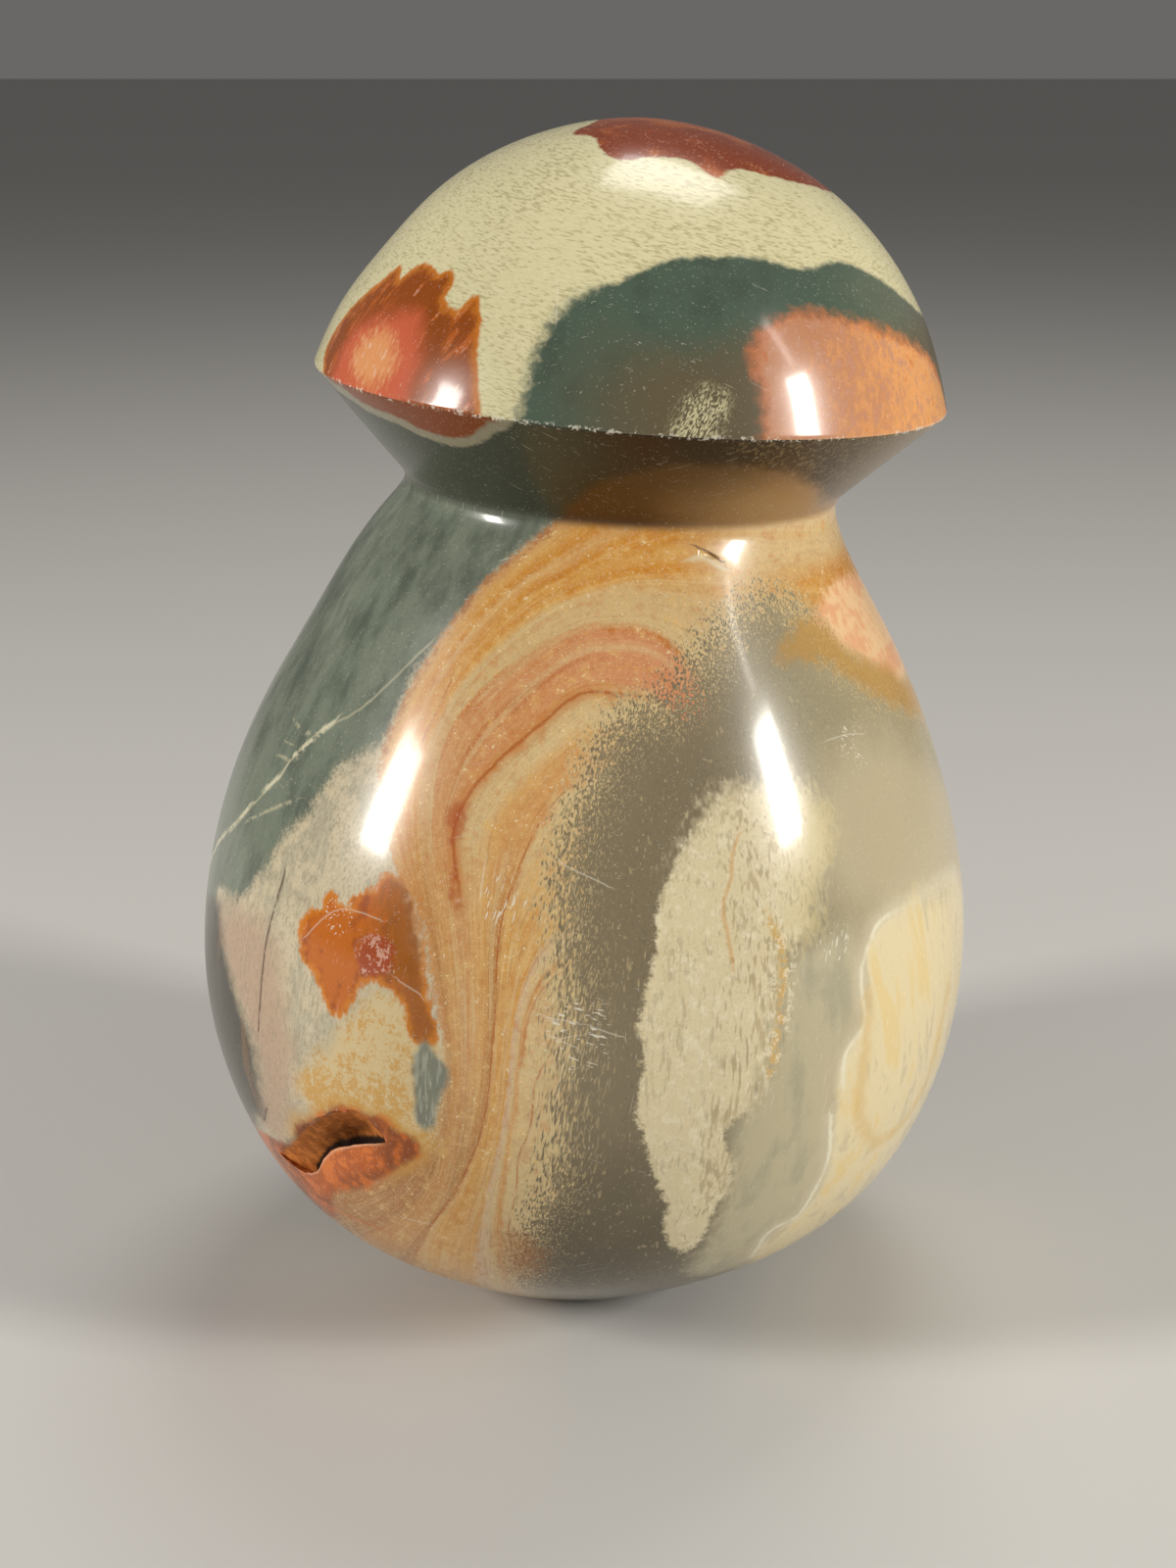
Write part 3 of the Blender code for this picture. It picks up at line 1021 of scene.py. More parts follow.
# %% [markdown]
# All the layers share a few kinds of noise, each on the position of the stone in space, as the minerals
# were before it was cut. Clouds change over a centimetre, blotches over a few millimetres, and grains are
# as fine as sand. The others are drawn out in one direction: streaks and dashes stand upright, as they do
# in the stem, and the grain of the cap lies nearly level. A place's distance to the right and its height
# are needed too, in millimetres, for what changes from one side of the stone to the other.

# %% Noise
here = Field.node("TexCoord", {}, {}, "Object")
x_mm, level = (Field.node("SeparateXYZ", {}, {0: here}, axis) / MM for axis in ("X", "Z"))

clouds = noise(stretched(here, (14, 14, 14)), detail=2)
blotches = noise(stretched(here, (4, 4, 4)), detail=3, roughness=0.6)
specks = noise(stretched(here, (1.1, 1.1, 1.1)), detail=2, roughness=0.6)
grains = noise(stretched(here, (0.32, 0.32, 0.32)), detail=1, roughness=0.6)
tall_clouds = noise(stretched(here, (3.5, 3.5, 22), (0, 6, 0)), detail=3, roughness=0.6)
streaks = noise(stretched(here, (0.42, 0.42, 2.4), (0, 4, 0)), detail=1, roughness=0.5)
dashes = noise(stretched(here, (0.2, 0.2, 1.2), (0, 10, 0)), detail=1, roughness=0.5)
level_grain = noise(stretched(here, (0.85, 0.85, 0.17), (0, 14, 0)), detail=1, roughness=0.6)
print("eight kinds of noise on", tree.name)

# %% [markdown]
# The masks of the zones come next. A ragged edge adds noise to the distance before it is compared with
# zero. The amounts are in millimetres, because the distances are. Where noise makes a mask by itself, a
# step set in the middle of its range covers half of the stone, and one near the top leaves only the
# peaks, as spots.

# %% Masks
def ragged(name, soft=0.3, specks_by=0.0, blotches_by=0.0, grains_by=0.0, streaks_by=0.0, shift=0.0):
    """The mask of a zone, whose edge is soft over some millimetres and moved by noise."""
    edge = attribute(name) + shift
    amounts = ((specks_by, specks), (blotches_by, blotches), (grains_by, grains), (streaks_by, streaks))
    for amount, kind in amounts:
        if amount:
            edge = edge + (kind - 0.5) * (2 * amount)
    return rise(edge, -soft, soft)


def thin(name, width, soft=0.15, wobble=0.0):
    """The mask of a line of the given width, in millimetres."""
    offset = attribute(name)
    if wobble:
        offset = offset + (specks - 0.5) * (2 * wobble)
    return rise(abs(offset), width / 2 + soft, max(width / 2 - soft, 0)) * attribute(name + "_there")


on_dome = rise(attribute("above_rim"), -0.05, 0.05)
on_underside = rise(attribute("above_neck"), -0.6, 0.6) * (1 - on_dome)
print("masks ready")

# %% [markdown]
# The ground of the stone is a pale grey-beige. Over it come the mauve and the dark zone at the left and
# the grey-green that fills the upper left. All are mottled and streaked upright, for jasper is never one
# even colour, and their edges are soft where the minerals seeped and crisp where they met a crack.

# %% Ground, mauve and green
PALE = rgb(200, 186, 156)
PALE_GREY = rgb(176, 168, 144)
BRIGHT_STREAK = rgb(214, 202, 172)
FINE_GREY = rgb(150, 138, 112)
MAUVE = rgb(180, 150, 126)
DARK = rgb(70, 66, 56)
DARK_BROWN = rgb(108, 86, 62)
GREEN = rgb(118, 126, 110)
DEEP_GREEN = rgb(84, 92, 80)
PALE_GREEN = rgb(146, 150, 132)

colour = blend(PALE, PALE_GREY, rise(tall_clouds + (specks - 0.5) * 0.4, 0.42, 0.62))
colour = blend(colour, BRIGHT_STREAK, rise(streaks, 0.56, 0.7) * 0.35)
colour = blend(colour, MAUVE, ragged("mauve", soft=2.6, blotches_by=1.6, streaks_by=1.0) * 0.85)
colour = blend(colour, FINE_GREY, rise(dashes + (specks - 0.5) * 0.4, 0.52, 0.68) * 0.55)
colour = blend(colour, FINE_GREY, rise(grains, 0.56, 0.66) * 0.4)
shade = blend(DARK, DARK_BROWN, rise(tall_clouds, 0.5, 0.62))
colour = blend(colour, shade, ragged("dark_left", soft=1.7, blotches_by=1.2, specks_by=0.5))
green = blend(DEEP_GREEN, GREEN, rise(tall_clouds + (blotches - 0.5) * 0.3, 0.24, 0.62))
green = blend(green, PALE_GREEN, rise(tall_clouds + (clouds - 0.5) * 0.6, 0.56, 0.86) * 0.45)
green = blend(green, DEEP_GREEN, rise(dashes, 0.54, 0.7) * 0.3)
colour = blend(colour, green, ragged("green", soft=0.9, blotches_by=1.0, specks_by=0.8, grains_by=0.8))
print("painted the ground and the green")

# %% [markdown]
# The flow takes its colours from two ramps along the stored number, one for the arch and one for the
# column below it. Noise bends the number a little, so that no band is quite even.

# %% Bands of the flow
TAN = rgb(206, 160, 98)
PINK_TAN = rgb(196, 148, 100)
BROWN_TAN = rgb(178, 126, 72)
GOLD = rgb(206, 156, 82)
YELLOW_ORANGE = rgb(198, 134, 46)
BEIGE = rgb(208, 184, 136)
SAND = rgb(200, 172, 122)
ORANGE_TAN = rgb(202, 150, 92)
SALMON = rgb(200, 140, 90)
BROWN_EDGE = rgb(188, 112, 46)
MID_BROWN = rgb(184, 114, 64)
LILAC_BEIGE = rgb(202, 172, 142)

flow_number = attribute("flow")
flow_bent = flow_number + (blotches - 0.5) * 0.16 + (specks - 0.5) * 0.2
along_ramp = flow_bent / (len(FLOW_CONTOURS) - 1)

arch_colour = ramp(along_ramp, [
    (0.0, PINK_TAN), (0.03, TAN), (0.06, GOLD), (0.09, YELLOW_ORANGE), (0.12, TAN), (0.15, YELLOW_ORANGE),
    (0.185, GOLD), (0.21, YELLOW_ORANGE), (0.24, GOLD), (0.28, SAND), (0.385, SAND), (0.402, BROWN_EDGE),
    (0.425, SALMON), (0.475, SALMON), (0.5, MID_BROWN), (0.53, SALMON), (0.57, SALMON), (0.592, ORANGE_TAN),
    (0.612, SAND), (0.67, BEIGE), (0.71, TAN), (0.75, ORANGE_TAN), (0.795, ORANGE_TAN), (0.81, BEIGE),
    (0.86, TAN), (0.9, GOLD), (0.94, TAN), (1.0, BEIGE),
])
column_colour = ramp(along_ramp, [
    (0.0, PINK_TAN), (0.25, BROWN_TAN), (0.4, TAN), (0.55, PINK_TAN), (0.7, TAN), (0.79, BROWN_TAN),
    (0.81, TAN), (0.84, GOLD), (0.88, TAN), (0.91, GOLD), (0.93, LILAC_BEIGE), (0.96, BEIGE),
    (0.98, ORANGE_TAN), (1.0, BEIGE),
])
in_column = rise(level + (blotches - 0.5) * 8, 66, 54) * rise(x_mm, 12, 4)
flow_colour = blend(arch_colour, column_colour, in_column)
print("mixed the bands of the flow")

# %% [markdown]
# Some parts of the flow have a colour of their own. The salmon band turns pink at its right end, the
# swirl at the lower left is brown, the left limb of the arch is an even tan, and far to the right the
# stone is beige with orange spots.

# %% Parts of the flow
SALMON_PINK = rgb(206, 140, 100)
LIMB_TAN = rgb(196, 146, 88)
SWIRL_BROWN = rgb(156, 108, 62)

in_salmon_band = rise(flow_bent, 2.02, 2.2) * rise(flow_bent, 2.98, 2.8)
pink_end = rise(x_mm + (blotches - 0.5) * 6, -8, 6) * in_salmon_band
flow_colour = blend(flow_colour, SALMON_PINK, pink_end * 0.7)
in_swirl = rise(level + (blotches - 0.5) * 8, 44, 26) * rise(flow_number, 4.2, 3.4)
flow_colour = blend(flow_colour, SWIRL_BROWN, in_swirl * 0.7)
left_limb = rise(x_mm, -9, -15) * rise(level, 78, 70) * rise(flow_bent, 1.1, 1.4) * rise(flow_bent, 3, 2.9)
flow_colour = blend(flow_colour, LIMB_TAN, left_limb * 0.65)
far_right = rise(x_mm + (blotches - 0.5) * 6, 9, 17) * rise(level, 84, 87)
flow_colour = blend(flow_colour, BEIGE, far_right * 0.9)
orange_spots = rise(blotches + (specks - 0.5) * 0.5, 0.6, 0.68)
flow_colour = blend(flow_colour, YELLOW_ORANGE, far_right * orange_spots * 0.6)
print("coloured the parts of the flow")

# %% [markdown]
# Finer bands come from noise whose position has the flow itself as one part, so that it is drawn out
# along the contours: broad bands, threads, and hairs. Grains as fine as sand lie over it all, with pale
# specks that are partly the stone's own grains and partly painted glints.

# %% Grain of the flow
FINE_DARK = rgb(156, 96, 50)
FINE_PALE = rgb(222, 192, 142)
GOLD_GRAIN = rgb(218, 176, 106)
PALE_GRAIN_AND_GLINT = rgb(240, 222, 184)


def drawn_out(along, number, seed):
    """Noise in bands that follow the flow: as many as the number gives between two contours."""
    shift = Field.node("CombineXYZ", {}, {0: flow_number * number + seed, 1: seed, 2: 0.0})
    place = Field.node("VectorMath", {"operation": "ADD"}, {0: stretched(here, (along,) * 3), 1: shift})
    return noise(place, detail=2, roughness=0.6)


bands = drawn_out(18, 5.0, 1.0)
threads = drawn_out(6, 15.0, 5.0)
hairs = drawn_out(4, 34.0, 9.0)
flow_colour = blend(flow_colour, YELLOW_ORANGE, rise(bands, 0.55, 0.72) * 0.3)
fine_by = in_column * 0.15 + 0.18
sandy = specks + (grains - 0.5) * 0.7 + (blotches - 0.5) * 0.3
flow_colour = blend(flow_colour, GOLD_GRAIN, rise(sandy, 0.54, 0.72) * 0.55)
flow_colour = blend(flow_colour, BROWN_EDGE, rise(sandy, 0.44, 0.28) * 0.4)
paler = rise(flow_number, 0.8, 1.5) * 0.3 + 0.12
flow_colour = blend(flow_colour, BEIGE, rise(bands, 0.46, 0.32) * paler)
for pattern, dark_step, pale_step, amount in (
    (threads, (0.56, 0.7), (0.44, 0.32), fine_by),
    (hairs, (0.56, 0.7), (0.44, 0.3), fine_by),
    (grains, (0.54, 0.68), (0.46, 0.34), 0.25),
):
    flow_colour = blend(flow_colour, FINE_DARK, rise(pattern, *dark_step) * amount)
    flow_colour = blend(flow_colour, FINE_PALE, rise(pattern, *pale_step) * amount)
# Pale specks, partly real grains and partly painted glints.
flow_colour = blend(flow_colour, PALE_GRAIN_AND_GLINT, rise(grains + (specks - 0.5) * 0.5, 0.68, 0.76) * 0.6)
print("laid the grain over the flow")

# %% [markdown]
# Some contours show as lines too, each with its own width in millimetres: the red line below the salmon
# band, which has a brown glow, and two finer ones. Where the flow meets the green it ends in a reddish
# fringe. At the right a salmon patch with an ochre lower edge belongs to it.

# %% Flow lines
LINE_RED = rgb(164, 82, 28)
BLOT_RED = rgb(166, 76, 30)
FRINGE_RED = rgb(160, 104, 66)
PATCH_SALMON = rgb(230, 172, 126)
PATCH_TAN = rgb(236, 196, 148)

for name, depth in zip(("red_line", "middle_line", "inner_line"), depths_in[3:]):
    store(name, np.clip(depth, -FAR, FAR))


def line_at(name, width, soft=0.2, wobble=0.3):
    """The mask of a contour, as a line of the given width, in millimetres."""
    offset = attribute(name) + (specks - 0.5) * (2 * wobble)
    return rise(abs(offset), width / 2 + soft, max(width / 2 - soft, 0))


red_here = rise(level, 56, 60) * rise(x_mm, 7, 3)
broken = rise(blotches + (specks - 0.5), 0.38, 0.52)
flow_colour = blend(flow_colour, BROWN_EDGE, line_at("red_line", 1.0, 0.8, 0.3) * red_here * 0.5)
flow_colour = blend(flow_colour, LINE_RED, line_at("red_line", 0.2, 0.22, 0.2) * red_here * 0.75)
middle_red = line_at("middle_line", 0.08, 0.14, 0.12) * rise(x_mm, 0, -2) * broken
flow_colour = blend(flow_colour, LINE_RED, middle_red * 0.75)
inner_red = line_at("inner_line", 0.1, 0.16, 0.15) * rise(level, 41, 46)
flow_colour = blend(flow_colour, LINE_RED, inner_red * 0.5)
flow_colour = blend(flow_colour, LINE_RED, thin("red_threads", 0.1, 0.14, 0.15) * broken * 0.7)
blots = ragged("red_blots", soft=0.7, specks_by=1.6, shift=-0.3)
flow_colour = blend(flow_colour, BLOT_RED, blots * 0.7)
near_fringe = rise(attribute("flow_outer") + (grains - 0.5) * 2, 1.3, 0.2) * rise(level, 60, 66)
flow_colour = blend(flow_colour, FRINGE_RED, near_fringe * rise(specks, 0.4, 0.6) * 0.8)
right_patch = blend(PATCH_SALMON, PATCH_TAN, rise(bands + (specks - 0.5) * 0.5, 0.45, 0.6))
flow_colour = blend(flow_colour, right_patch, ragged("right_salmon", soft=0.9, specks_by=1.2))
flow_mask = ragged("flow_outer", soft=0.35, blotches_by=0.5, specks_by=0.6, grains_by=0.8)
colour = blend(colour, flow_colour, flow_mask)
print("painted the flow")

# %% [markdown]
# Inside the arch the stone is taupe, lighter to the right, and darker towards the foot, where the dark is
# partly painted shade. The flow breaks up into it in grains: upright dashes move that edge by a few
# millimetres, and pale ones lie scattered beyond it. At the top of the taupe the grains reach furthest.

# %% Taupe
TAUPE = rgb(126, 114, 90)
DARK_TAUPE_AND_SHADE = rgb(94, 84, 64)
OLIVE_TAUPE = rgb(156, 146, 116)
PALE_GRAIN = rgb(204, 184, 138)
OCHRE_STREAK = rgb(184, 140, 66)
STAIN = rgb(158, 98, 40)

# Darker towards the foot: partly the stone's own darker taupe and partly painted shade.
taupe = blend(DARK_TAUPE_AND_SHADE, TAUPE, rise(level + (clouds - 0.5) * 30, 14, 42))
taupe = blend(taupe, OLIVE_TAUPE, rise(x_mm + (clouds - 0.5) * 12, 8, 26))
taupe = blend(taupe, DARK_TAUPE_AND_SHADE, rise(dashes, 0.54, 0.7) * 0.3)
taupe = blend(taupe, PALE_GRAIN, rise(streaks + (specks - 0.5) * 0.5, 0.66, 0.76) * 0.35)
past_edge = attribute("taupe")
grain_reach = 12 + rise(x_mm, 2, 12) * 8
edge_grain = (dashes - 0.5) * grain_reach + (streaks - 0.5) * 5
near_edge = rise(past_edge + (streaks - 0.5) * 6, -3.2, -0.4)
colour = blend(colour, blend(PALE_GRAIN, SALMON_PINK, pink_end), near_edge * 0.6)
in_taupe = rise(past_edge + edge_grain, -1.6, 1.8) * rise(past_edge, -4.5, -1.5)
colour = blend(colour, taupe, in_taupe)
scattered = rise(dashes, 0.56, 0.66) * rise(past_edge, 7, 2) * rise(past_edge, 0, 1)
colour = blend(colour, PALE_GRAIN, scattered * 0.5)
colour = blend(colour, OCHRE_STREAK, ragged("right_ochre", soft=1.2, blotches_by=1.0, specks_by=1.4) * 0.75)
colour = blend(colour, STAIN, ragged("foot_stain", soft=2.0, blotches_by=1.6, streaks_by=2.0) * 0.7)
print("painted the taupe")

# %% [markdown]
# In the taupe stand a cream band with a lumpy, fibrous grain and a grey one beside it. The cream band has
# a crisp edge at its left and at the foot, while its upper right fades into the taupe, so two masks of
# the same outline are mixed, and the place decides which one counts.

# %% Cream band
CREAM = rgb(216, 202, 164)
CREAM_LUMP = rgb(230, 220, 190)
CREAM_FIBRE = rgb(184, 166, 128)
CREAM_SHADE = rgb(170, 154, 118)
YELLOW_CREAM = rgb(204, 188, 138)
GREY_BEIGE = rgb(186, 176, 144)
COOL_GREY = rgb(168, 162, 134)
PALE_TAN = rgb(190, 176, 144)

colour = blend(colour, PALE_TAN, ragged("pale_right", soft=4, blotches_by=2) * 0.8)
grey = blend(GREY_BEIGE, COOL_GREY, rise(tall_clouds + (blotches - 0.5) * 0.5, 0.44, 0.64))
colour = blend(colour, grey, ragged("second_grey", soft=1.8, blotches_by=1.2, specks_by=0.8) * 0.9)
cream = blend(CREAM, CREAM_LUMP, rise(specks + (streaks - 0.5) * 0.6, 0.46, 0.7) * 0.7)
cream = blend(cream, CREAM_FIBRE, rise(grains + (blotches - 0.5) * 0.5, 0.54, 0.7) * 0.3)
fibrous = rise(x_mm - (level - 25) * 0.1, 9.5, 12.5) * 0.6 + 0.25
cream = blend(cream, CREAM_FIBRE, rise(streaks + (tall_clouds - 0.5) * 0.8, 0.52, 0.68) * fibrous)
cream = blend(cream, YELLOW_CREAM, rise(x_mm + (clouds - 0.5) * 8, 18, 24) * rise(level, 46, 54) * 0.7)
cream = blend(cream, CREAM_SHADE, rise(blotches + (streaks - 0.5) * 0.9, 0.56, 0.74) * 0.45)
cream_mask = ragged("cream_band", soft=0.35, blotches_by=0.6, specks_by=0.8, grains_by=0.5)
cream_soft = ragged("cream_band", soft=1.8, blotches_by=1.6, specks_by=1.2, streaks_by=2.4)
soft_side = either(rise(x_mm - (level - 25) * 0.12, 12.5, 16.5), rise(level, 58, 66) * 0.8)
colour = blend(colour, cream, cream_mask * (1 - soft_side) + cream_soft * soft_side)
print("painted the cream band")

# %% [markdown]
# At the right is a patch of pale chalcedony with upright bands of its own. Its white rim is a line, and
# it has an ochre contour inside. Round the side, where nobody looked, the patch fades.

# %% Chalcedony
CHALCEDONY = rgb(220, 204, 162)
HONEY = rgb(222, 194, 128)
WHITE_RIM = rgb(228, 222, 196)
OCHRE = rgb(206, 166, 88)
SEAM_ORANGE = rgb(204, 150, 80)

agate_bands = noise(stretched(here, (2.2, 2.2, 20), (0, -14, 0)), detail=2)
chalcedony = blend(CHALCEDONY, HONEY, rise(agate_bands, 0.52, 0.66) * 0.6)
chalcedony = blend(chalcedony, PALE_TAN, rise(agate_bands + (specks - 0.5) * 0.2, 0.45, 0.33) * 0.6)
colour = blend(colour, PALE_TAN, ragged("agate", soft=1.4, blotches_by=1.0, shift=2.4) * 0.6)
agate_crisp = ragged("agate", soft=0.8, blotches_by=0.6, specks_by=0.3)
agate_soft = ragged("agate", soft=2.6, blotches_by=2.0, streaks_by=1.4)
far_round = rise(x_mm, 30, 35) * rise(level, 44, 48)
colour = blend(colour, chalcedony, agate_crisp * (1 - far_round) + agate_soft * far_round)
rim_glow = rise(tall_clouds + (blotches - 0.5), 0.35, 0.6) * 0.5 + 0.4
colour = blend(colour, WHITE_RIM, thin("agate_rims", 0.35, 0.3, 0.3) * rim_glow * (1 - far_round))
colour = blend(colour, WHITE_RIM, thin("agate_rims", 1.4, 1.2, 0.5) * 0.25)
colour = blend(colour, OCHRE, thin("ochre_contour", 0.8, 1.2, 0.9) * 0.45)
colour = blend(colour, OCHRE, thin("ochre_edge", 0.6, 0.5, 0.8) * rise(specks, 0.36, 0.5) * 0.8)
edge_lumps = rise(specks + (grains - 0.5) * 0.6, 0.58, 0.66)
colour = blend(colour, CREAM_LUMP, thin("ochre_edge", 3.0, 0.8) * edge_lumps * 0.6)
colour = blend(colour, SEAM_ORANGE, thin("orange_seam", 0.14, 0.3, 0.2) * 0.55)
print("painted the chalcedony")

# %% [markdown]
# Low on the left the colours come from iron. First a yellow mottled place, and above it an orange blot in
# the shape of a mitten, with a red knot of crystals in it. The right side of the mitten is browner and
# fades into the flow.

# %% Mottle and mitten
MITTEN = rgb(188, 98, 4)
DEEP_MITTEN = rgb(150, 68, 2)
MITTEN_EDGE = rgb(206, 124, 14)
MITTEN_BROWN = rgb(146, 86, 22)
KNOT_RED = rgb(160, 70, 30)
KNOT_PINK = rgb(226, 186, 164)
MOTTLE = rgb(206, 184, 138)
MOTTLE_OCHRE = rgb(196, 146, 62)

ochre_more = rise(level + (blotches - 0.5) * 10, 44, 33) * 0.08
ochre_specks = rise((specks + grains) / 2 + (blotches - 0.5) * 0.5 + ochre_more, 0.48, 0.66)
mottle = blend(MOTTLE, MOTTLE_OCHRE, ochre_specks * 0.8)
colour = blend(colour, mottle, ragged("mottle", soft=1.6, blotches_by=1.4, specks_by=0.8))
fade_up = rise(x_mm + (level - 52) * 0.35 + (blotches - 0.5) * 4, -17.5, -14)
mitten = blend(MITTEN, DEEP_MITTEN, rise(tall_clouds + (specks - 0.5) * 0.6, 0.46, 0.64) * 0.8)
browner = rise(x_mm + (blotches - 0.5) * 5 + (streaks - 0.5) * 6, -22, -17)
mitten = blend(mitten, MITTEN_BROWN, browner * 0.8)
mitten = blend(mitten, MITTEN_EDGE, rise(attribute("mitten") + (specks - 0.5) * 1.5, 0.9, 0.2) * 0.7)
mitten = blend(mitten, KNOT_RED, ragged("mitten_core", soft=0.5, specks_by=0.8))
crystals = rise(specks + (grains - 0.5) * 0.8, 0.56, 0.64)
mitten = blend(mitten, KNOT_PINK, ragged("mitten_core", soft=0.6, specks_by=0.6) * crystals * 0.6)
crisp_edge = ragged("mitten", soft=0.3, specks_by=0.7, blotches_by=0.4, streaks_by=0.5)
faded_edge = ragged("mitten", soft=1.8, specks_by=1.2, streaks_by=1.4)
colour = blend(colour, mitten, crisp_edge * (1 - fade_up) + faded_edge * fade_up * 0.85)
print("painted the mitten")

# %% [markdown]
# Between the mitten and the flow lies a small blue-grey lens. Below it is the ring of rust round the
# cavity, with an ochre glow at its upper side.

# %% Lens and the cavity's ring
LENS = rgb(108, 116, 106)
LENS_PALE = rgb(144, 150, 138)
RUST = rgb(136, 66, 10)
BRIGHT_RUST = rgb(196, 100, 22)

lens = blend(LENS, LENS_PALE, rise(streaks + (tall_clouds - 0.5), 0.5, 0.7))
colour = blend(colour, lens, ragged("lens", soft=0.5, specks_by=0.4) * 0.9)
ring_glow = ragged("pit_ring", soft=1.2, blotches_by=0.8, shift=0.9) * rise(level, 25, 28)
colour = blend(colour, MOTTLE_OCHRE, ring_glow * 0.8)
ring = blend(RUST, BRIGHT_RUST, rise(blotches + (specks - 0.5) * 0.4, 0.42, 0.62))
colour = blend(colour, ring, ragged("pit_ring", soft=0.6, specks_by=0.6, blotches_by=0.5))
print("painted the cavity's ring")

# %% [markdown]
# The dome is cream with a fine dark grain that lies nearly level. The green-grey band in it turns
# brownish towards the rim. Its upper edge is crisp, but at its left end the green breaks up into specks.

# %% Cream and green of the dome
CAP_CREAM = rgb(212, 204, 162)
CAP_GRAIN = rgb(160, 148, 106)
CAP_PALE = rgb(222, 214, 178)
TEAL = rgb(76, 92, 78)
TEAL_DARK = rgb(66, 78, 66)
TEAL_PALE = rgb(108, 112, 92)
TEAL_BROWN = rgb(98, 88, 66)

dome = blend(CAP_CREAM, CAP_PALE, rise(level_grain, 0.45, 0.3) * 0.5)
grain_here = rise(level_grain + (clouds - 0.5) * 0.35, 0.5, 0.68)
dome = blend(dome, CAP_GRAIN, grain_here * 0.6)
teal = blend(TEAL, TEAL_DARK, rise(blotches + (clouds - 0.5), 0.5, 0.7) * 0.6)
teal = blend(teal, TEAL_PALE, rise(x_mm + (clouds - 0.5) * 20, 22, 34) * 0.6)
brownish = rise(level + (clouds - 0.5) * 10 + (specks - 0.5) * 3, 113, 106) * rise(x_mm, -6, 8)
teal = blend(teal, TEAL_BROWN, brownish)
teal_top = ragged("teal", soft=0.4, specks_by=0.5)
teal_left = ragged("teal", soft=1.0, specks_by=0.6) * 0.6 + ragged("teal", soft=0.8, specks_by=2.2) * 0.4
at_left = rise(x_mm, 3, -2)
dome = blend(dome, teal, teal_top * (1 - at_left) + teal_left * at_left)
print("painted the dome's cream and green")

# %% [markdown]
# By the rim are two patches. The salmon one lies in the green, streaked by a noise that leans to the
# right, and turns orange towards the side. The rust one at the left has an ochre fringe, and a red core
# with a lighter spot in it.

# %% Salmon and rust patches
CAP_SALMON = rgb(188, 130, 94)
CAP_ORANGE = rgb(230, 164, 100)
CAP_STREAK = rgb(188, 94, 36)
CAP_PINK = rgb(196, 144, 118)
PATCH_RED = rgb(200, 96, 64)
PATCH_SPOT = rgb(220, 154, 100)
OCHRE_FRINGE = rgb(198, 118, 34)
UPPER_RUST = rgb(140, 68, 8)
CRYSTAL = rgb(226, 186, 160)

leaning = noise(stretched(here, (0.9, 0.9, 3.4), (0, 34, 0)), detail=2, roughness=0.65)
toward_orange = x_mm + (blotches - 0.5) * 9 + (clouds - 0.5) * 16 + (leaning - 0.5) * 30
salmon_patch = blend(CAP_SALMON, CAP_ORANGE, rise(toward_orange, 18, 38))
salmon_patch = blend(salmon_patch, CAP_PINK, rise(leaning, 0.48, 0.34) * 0.6)
salmon_patch = blend(salmon_patch, CAP_STREAK, rise(leaning + (clouds - 0.5) * 0.5, 0.56, 0.72) * 0.65)
salmon_edge = rise(attribute("cap_salmon") + (specks - 0.5) * 2, 1.4, 0.2)
salmon_patch = blend(salmon_patch, CAP_STREAK, salmon_edge * 0.5)
dome = blend(dome, salmon_patch, ragged("cap_salmon", soft=1.0, blotches_by=0.8, specks_by=1.2))
rust_edge = rise(attribute("rust_patch") + (specks - 0.5) * 1.5, 1.2, 0.2)
patch = blend(UPPER_RUST, BRIGHT_RUST, rise(leaning + (blotches - 0.5) * 0.6, 0.5, 0.7) * 0.6)
patch = blend(patch, OCHRE_FRINGE, rust_edge * 0.8)
patch = blend(patch, CRYSTAL, rise(leaning + (grains - 0.5) * 0.3, 0.64, 0.74) * 0.4)
patch = blend(patch, PATCH_RED, ragged("red_core", soft=2.0, blotches_by=1.4, specks_by=0.6) * 0.95)
patch = blend(patch, PATCH_SPOT, ragged("core_spot", soft=1.3, blotches_by=1.2, streaks_by=1.6) * 0.9)
patch = blend(patch, CRYSTAL, ragged("core_spot", soft=1.0) * rise(streaks, 0.6, 0.68) * 0.7)
dome = blend(dome, patch, ragged("rust_patch", soft=0.25, specks_by=0.5))
print("painted the patches by the rim")

# %% [markdown]
# The pale tuft by the rim is made of fine strands that lean to the right. The patch on the crown is red
# and orange with a few pale crystals. With them the dome is complete, and takes the place of whatever the
# stem's zones painted above the rim.

# %% Tuft and crown
CROWN_RED = rgb(130, 50, 0)
CROWN_ORANGE = rgb(172, 82, 4)

strands = noise(stretched(here, (0.16, 0.16, 2.2), (0, 32, 0)), detail=1)
in_tuft = ragged("tuft", soft=1.2, specks_by=1.2) * rise(strands, 0.42, 0.58)
dome = blend(dome, CAP_CREAM, in_tuft * 0.8)
crown = blend(CROWN_RED, CROWN_ORANGE, rise(blotches + (clouds - 0.5), 0.45, 0.7))
crown = blend(crown, CRYSTAL, rise(grains + (blotches - 0.5) * 0.5, 0.66, 0.74) * 0.5)
dome = blend(dome, crown, ragged("crown_patch", soft=0.25, specks_by=0.5))
colour = blend(colour, dome, on_dome)
print("painted the tuft and the crown")
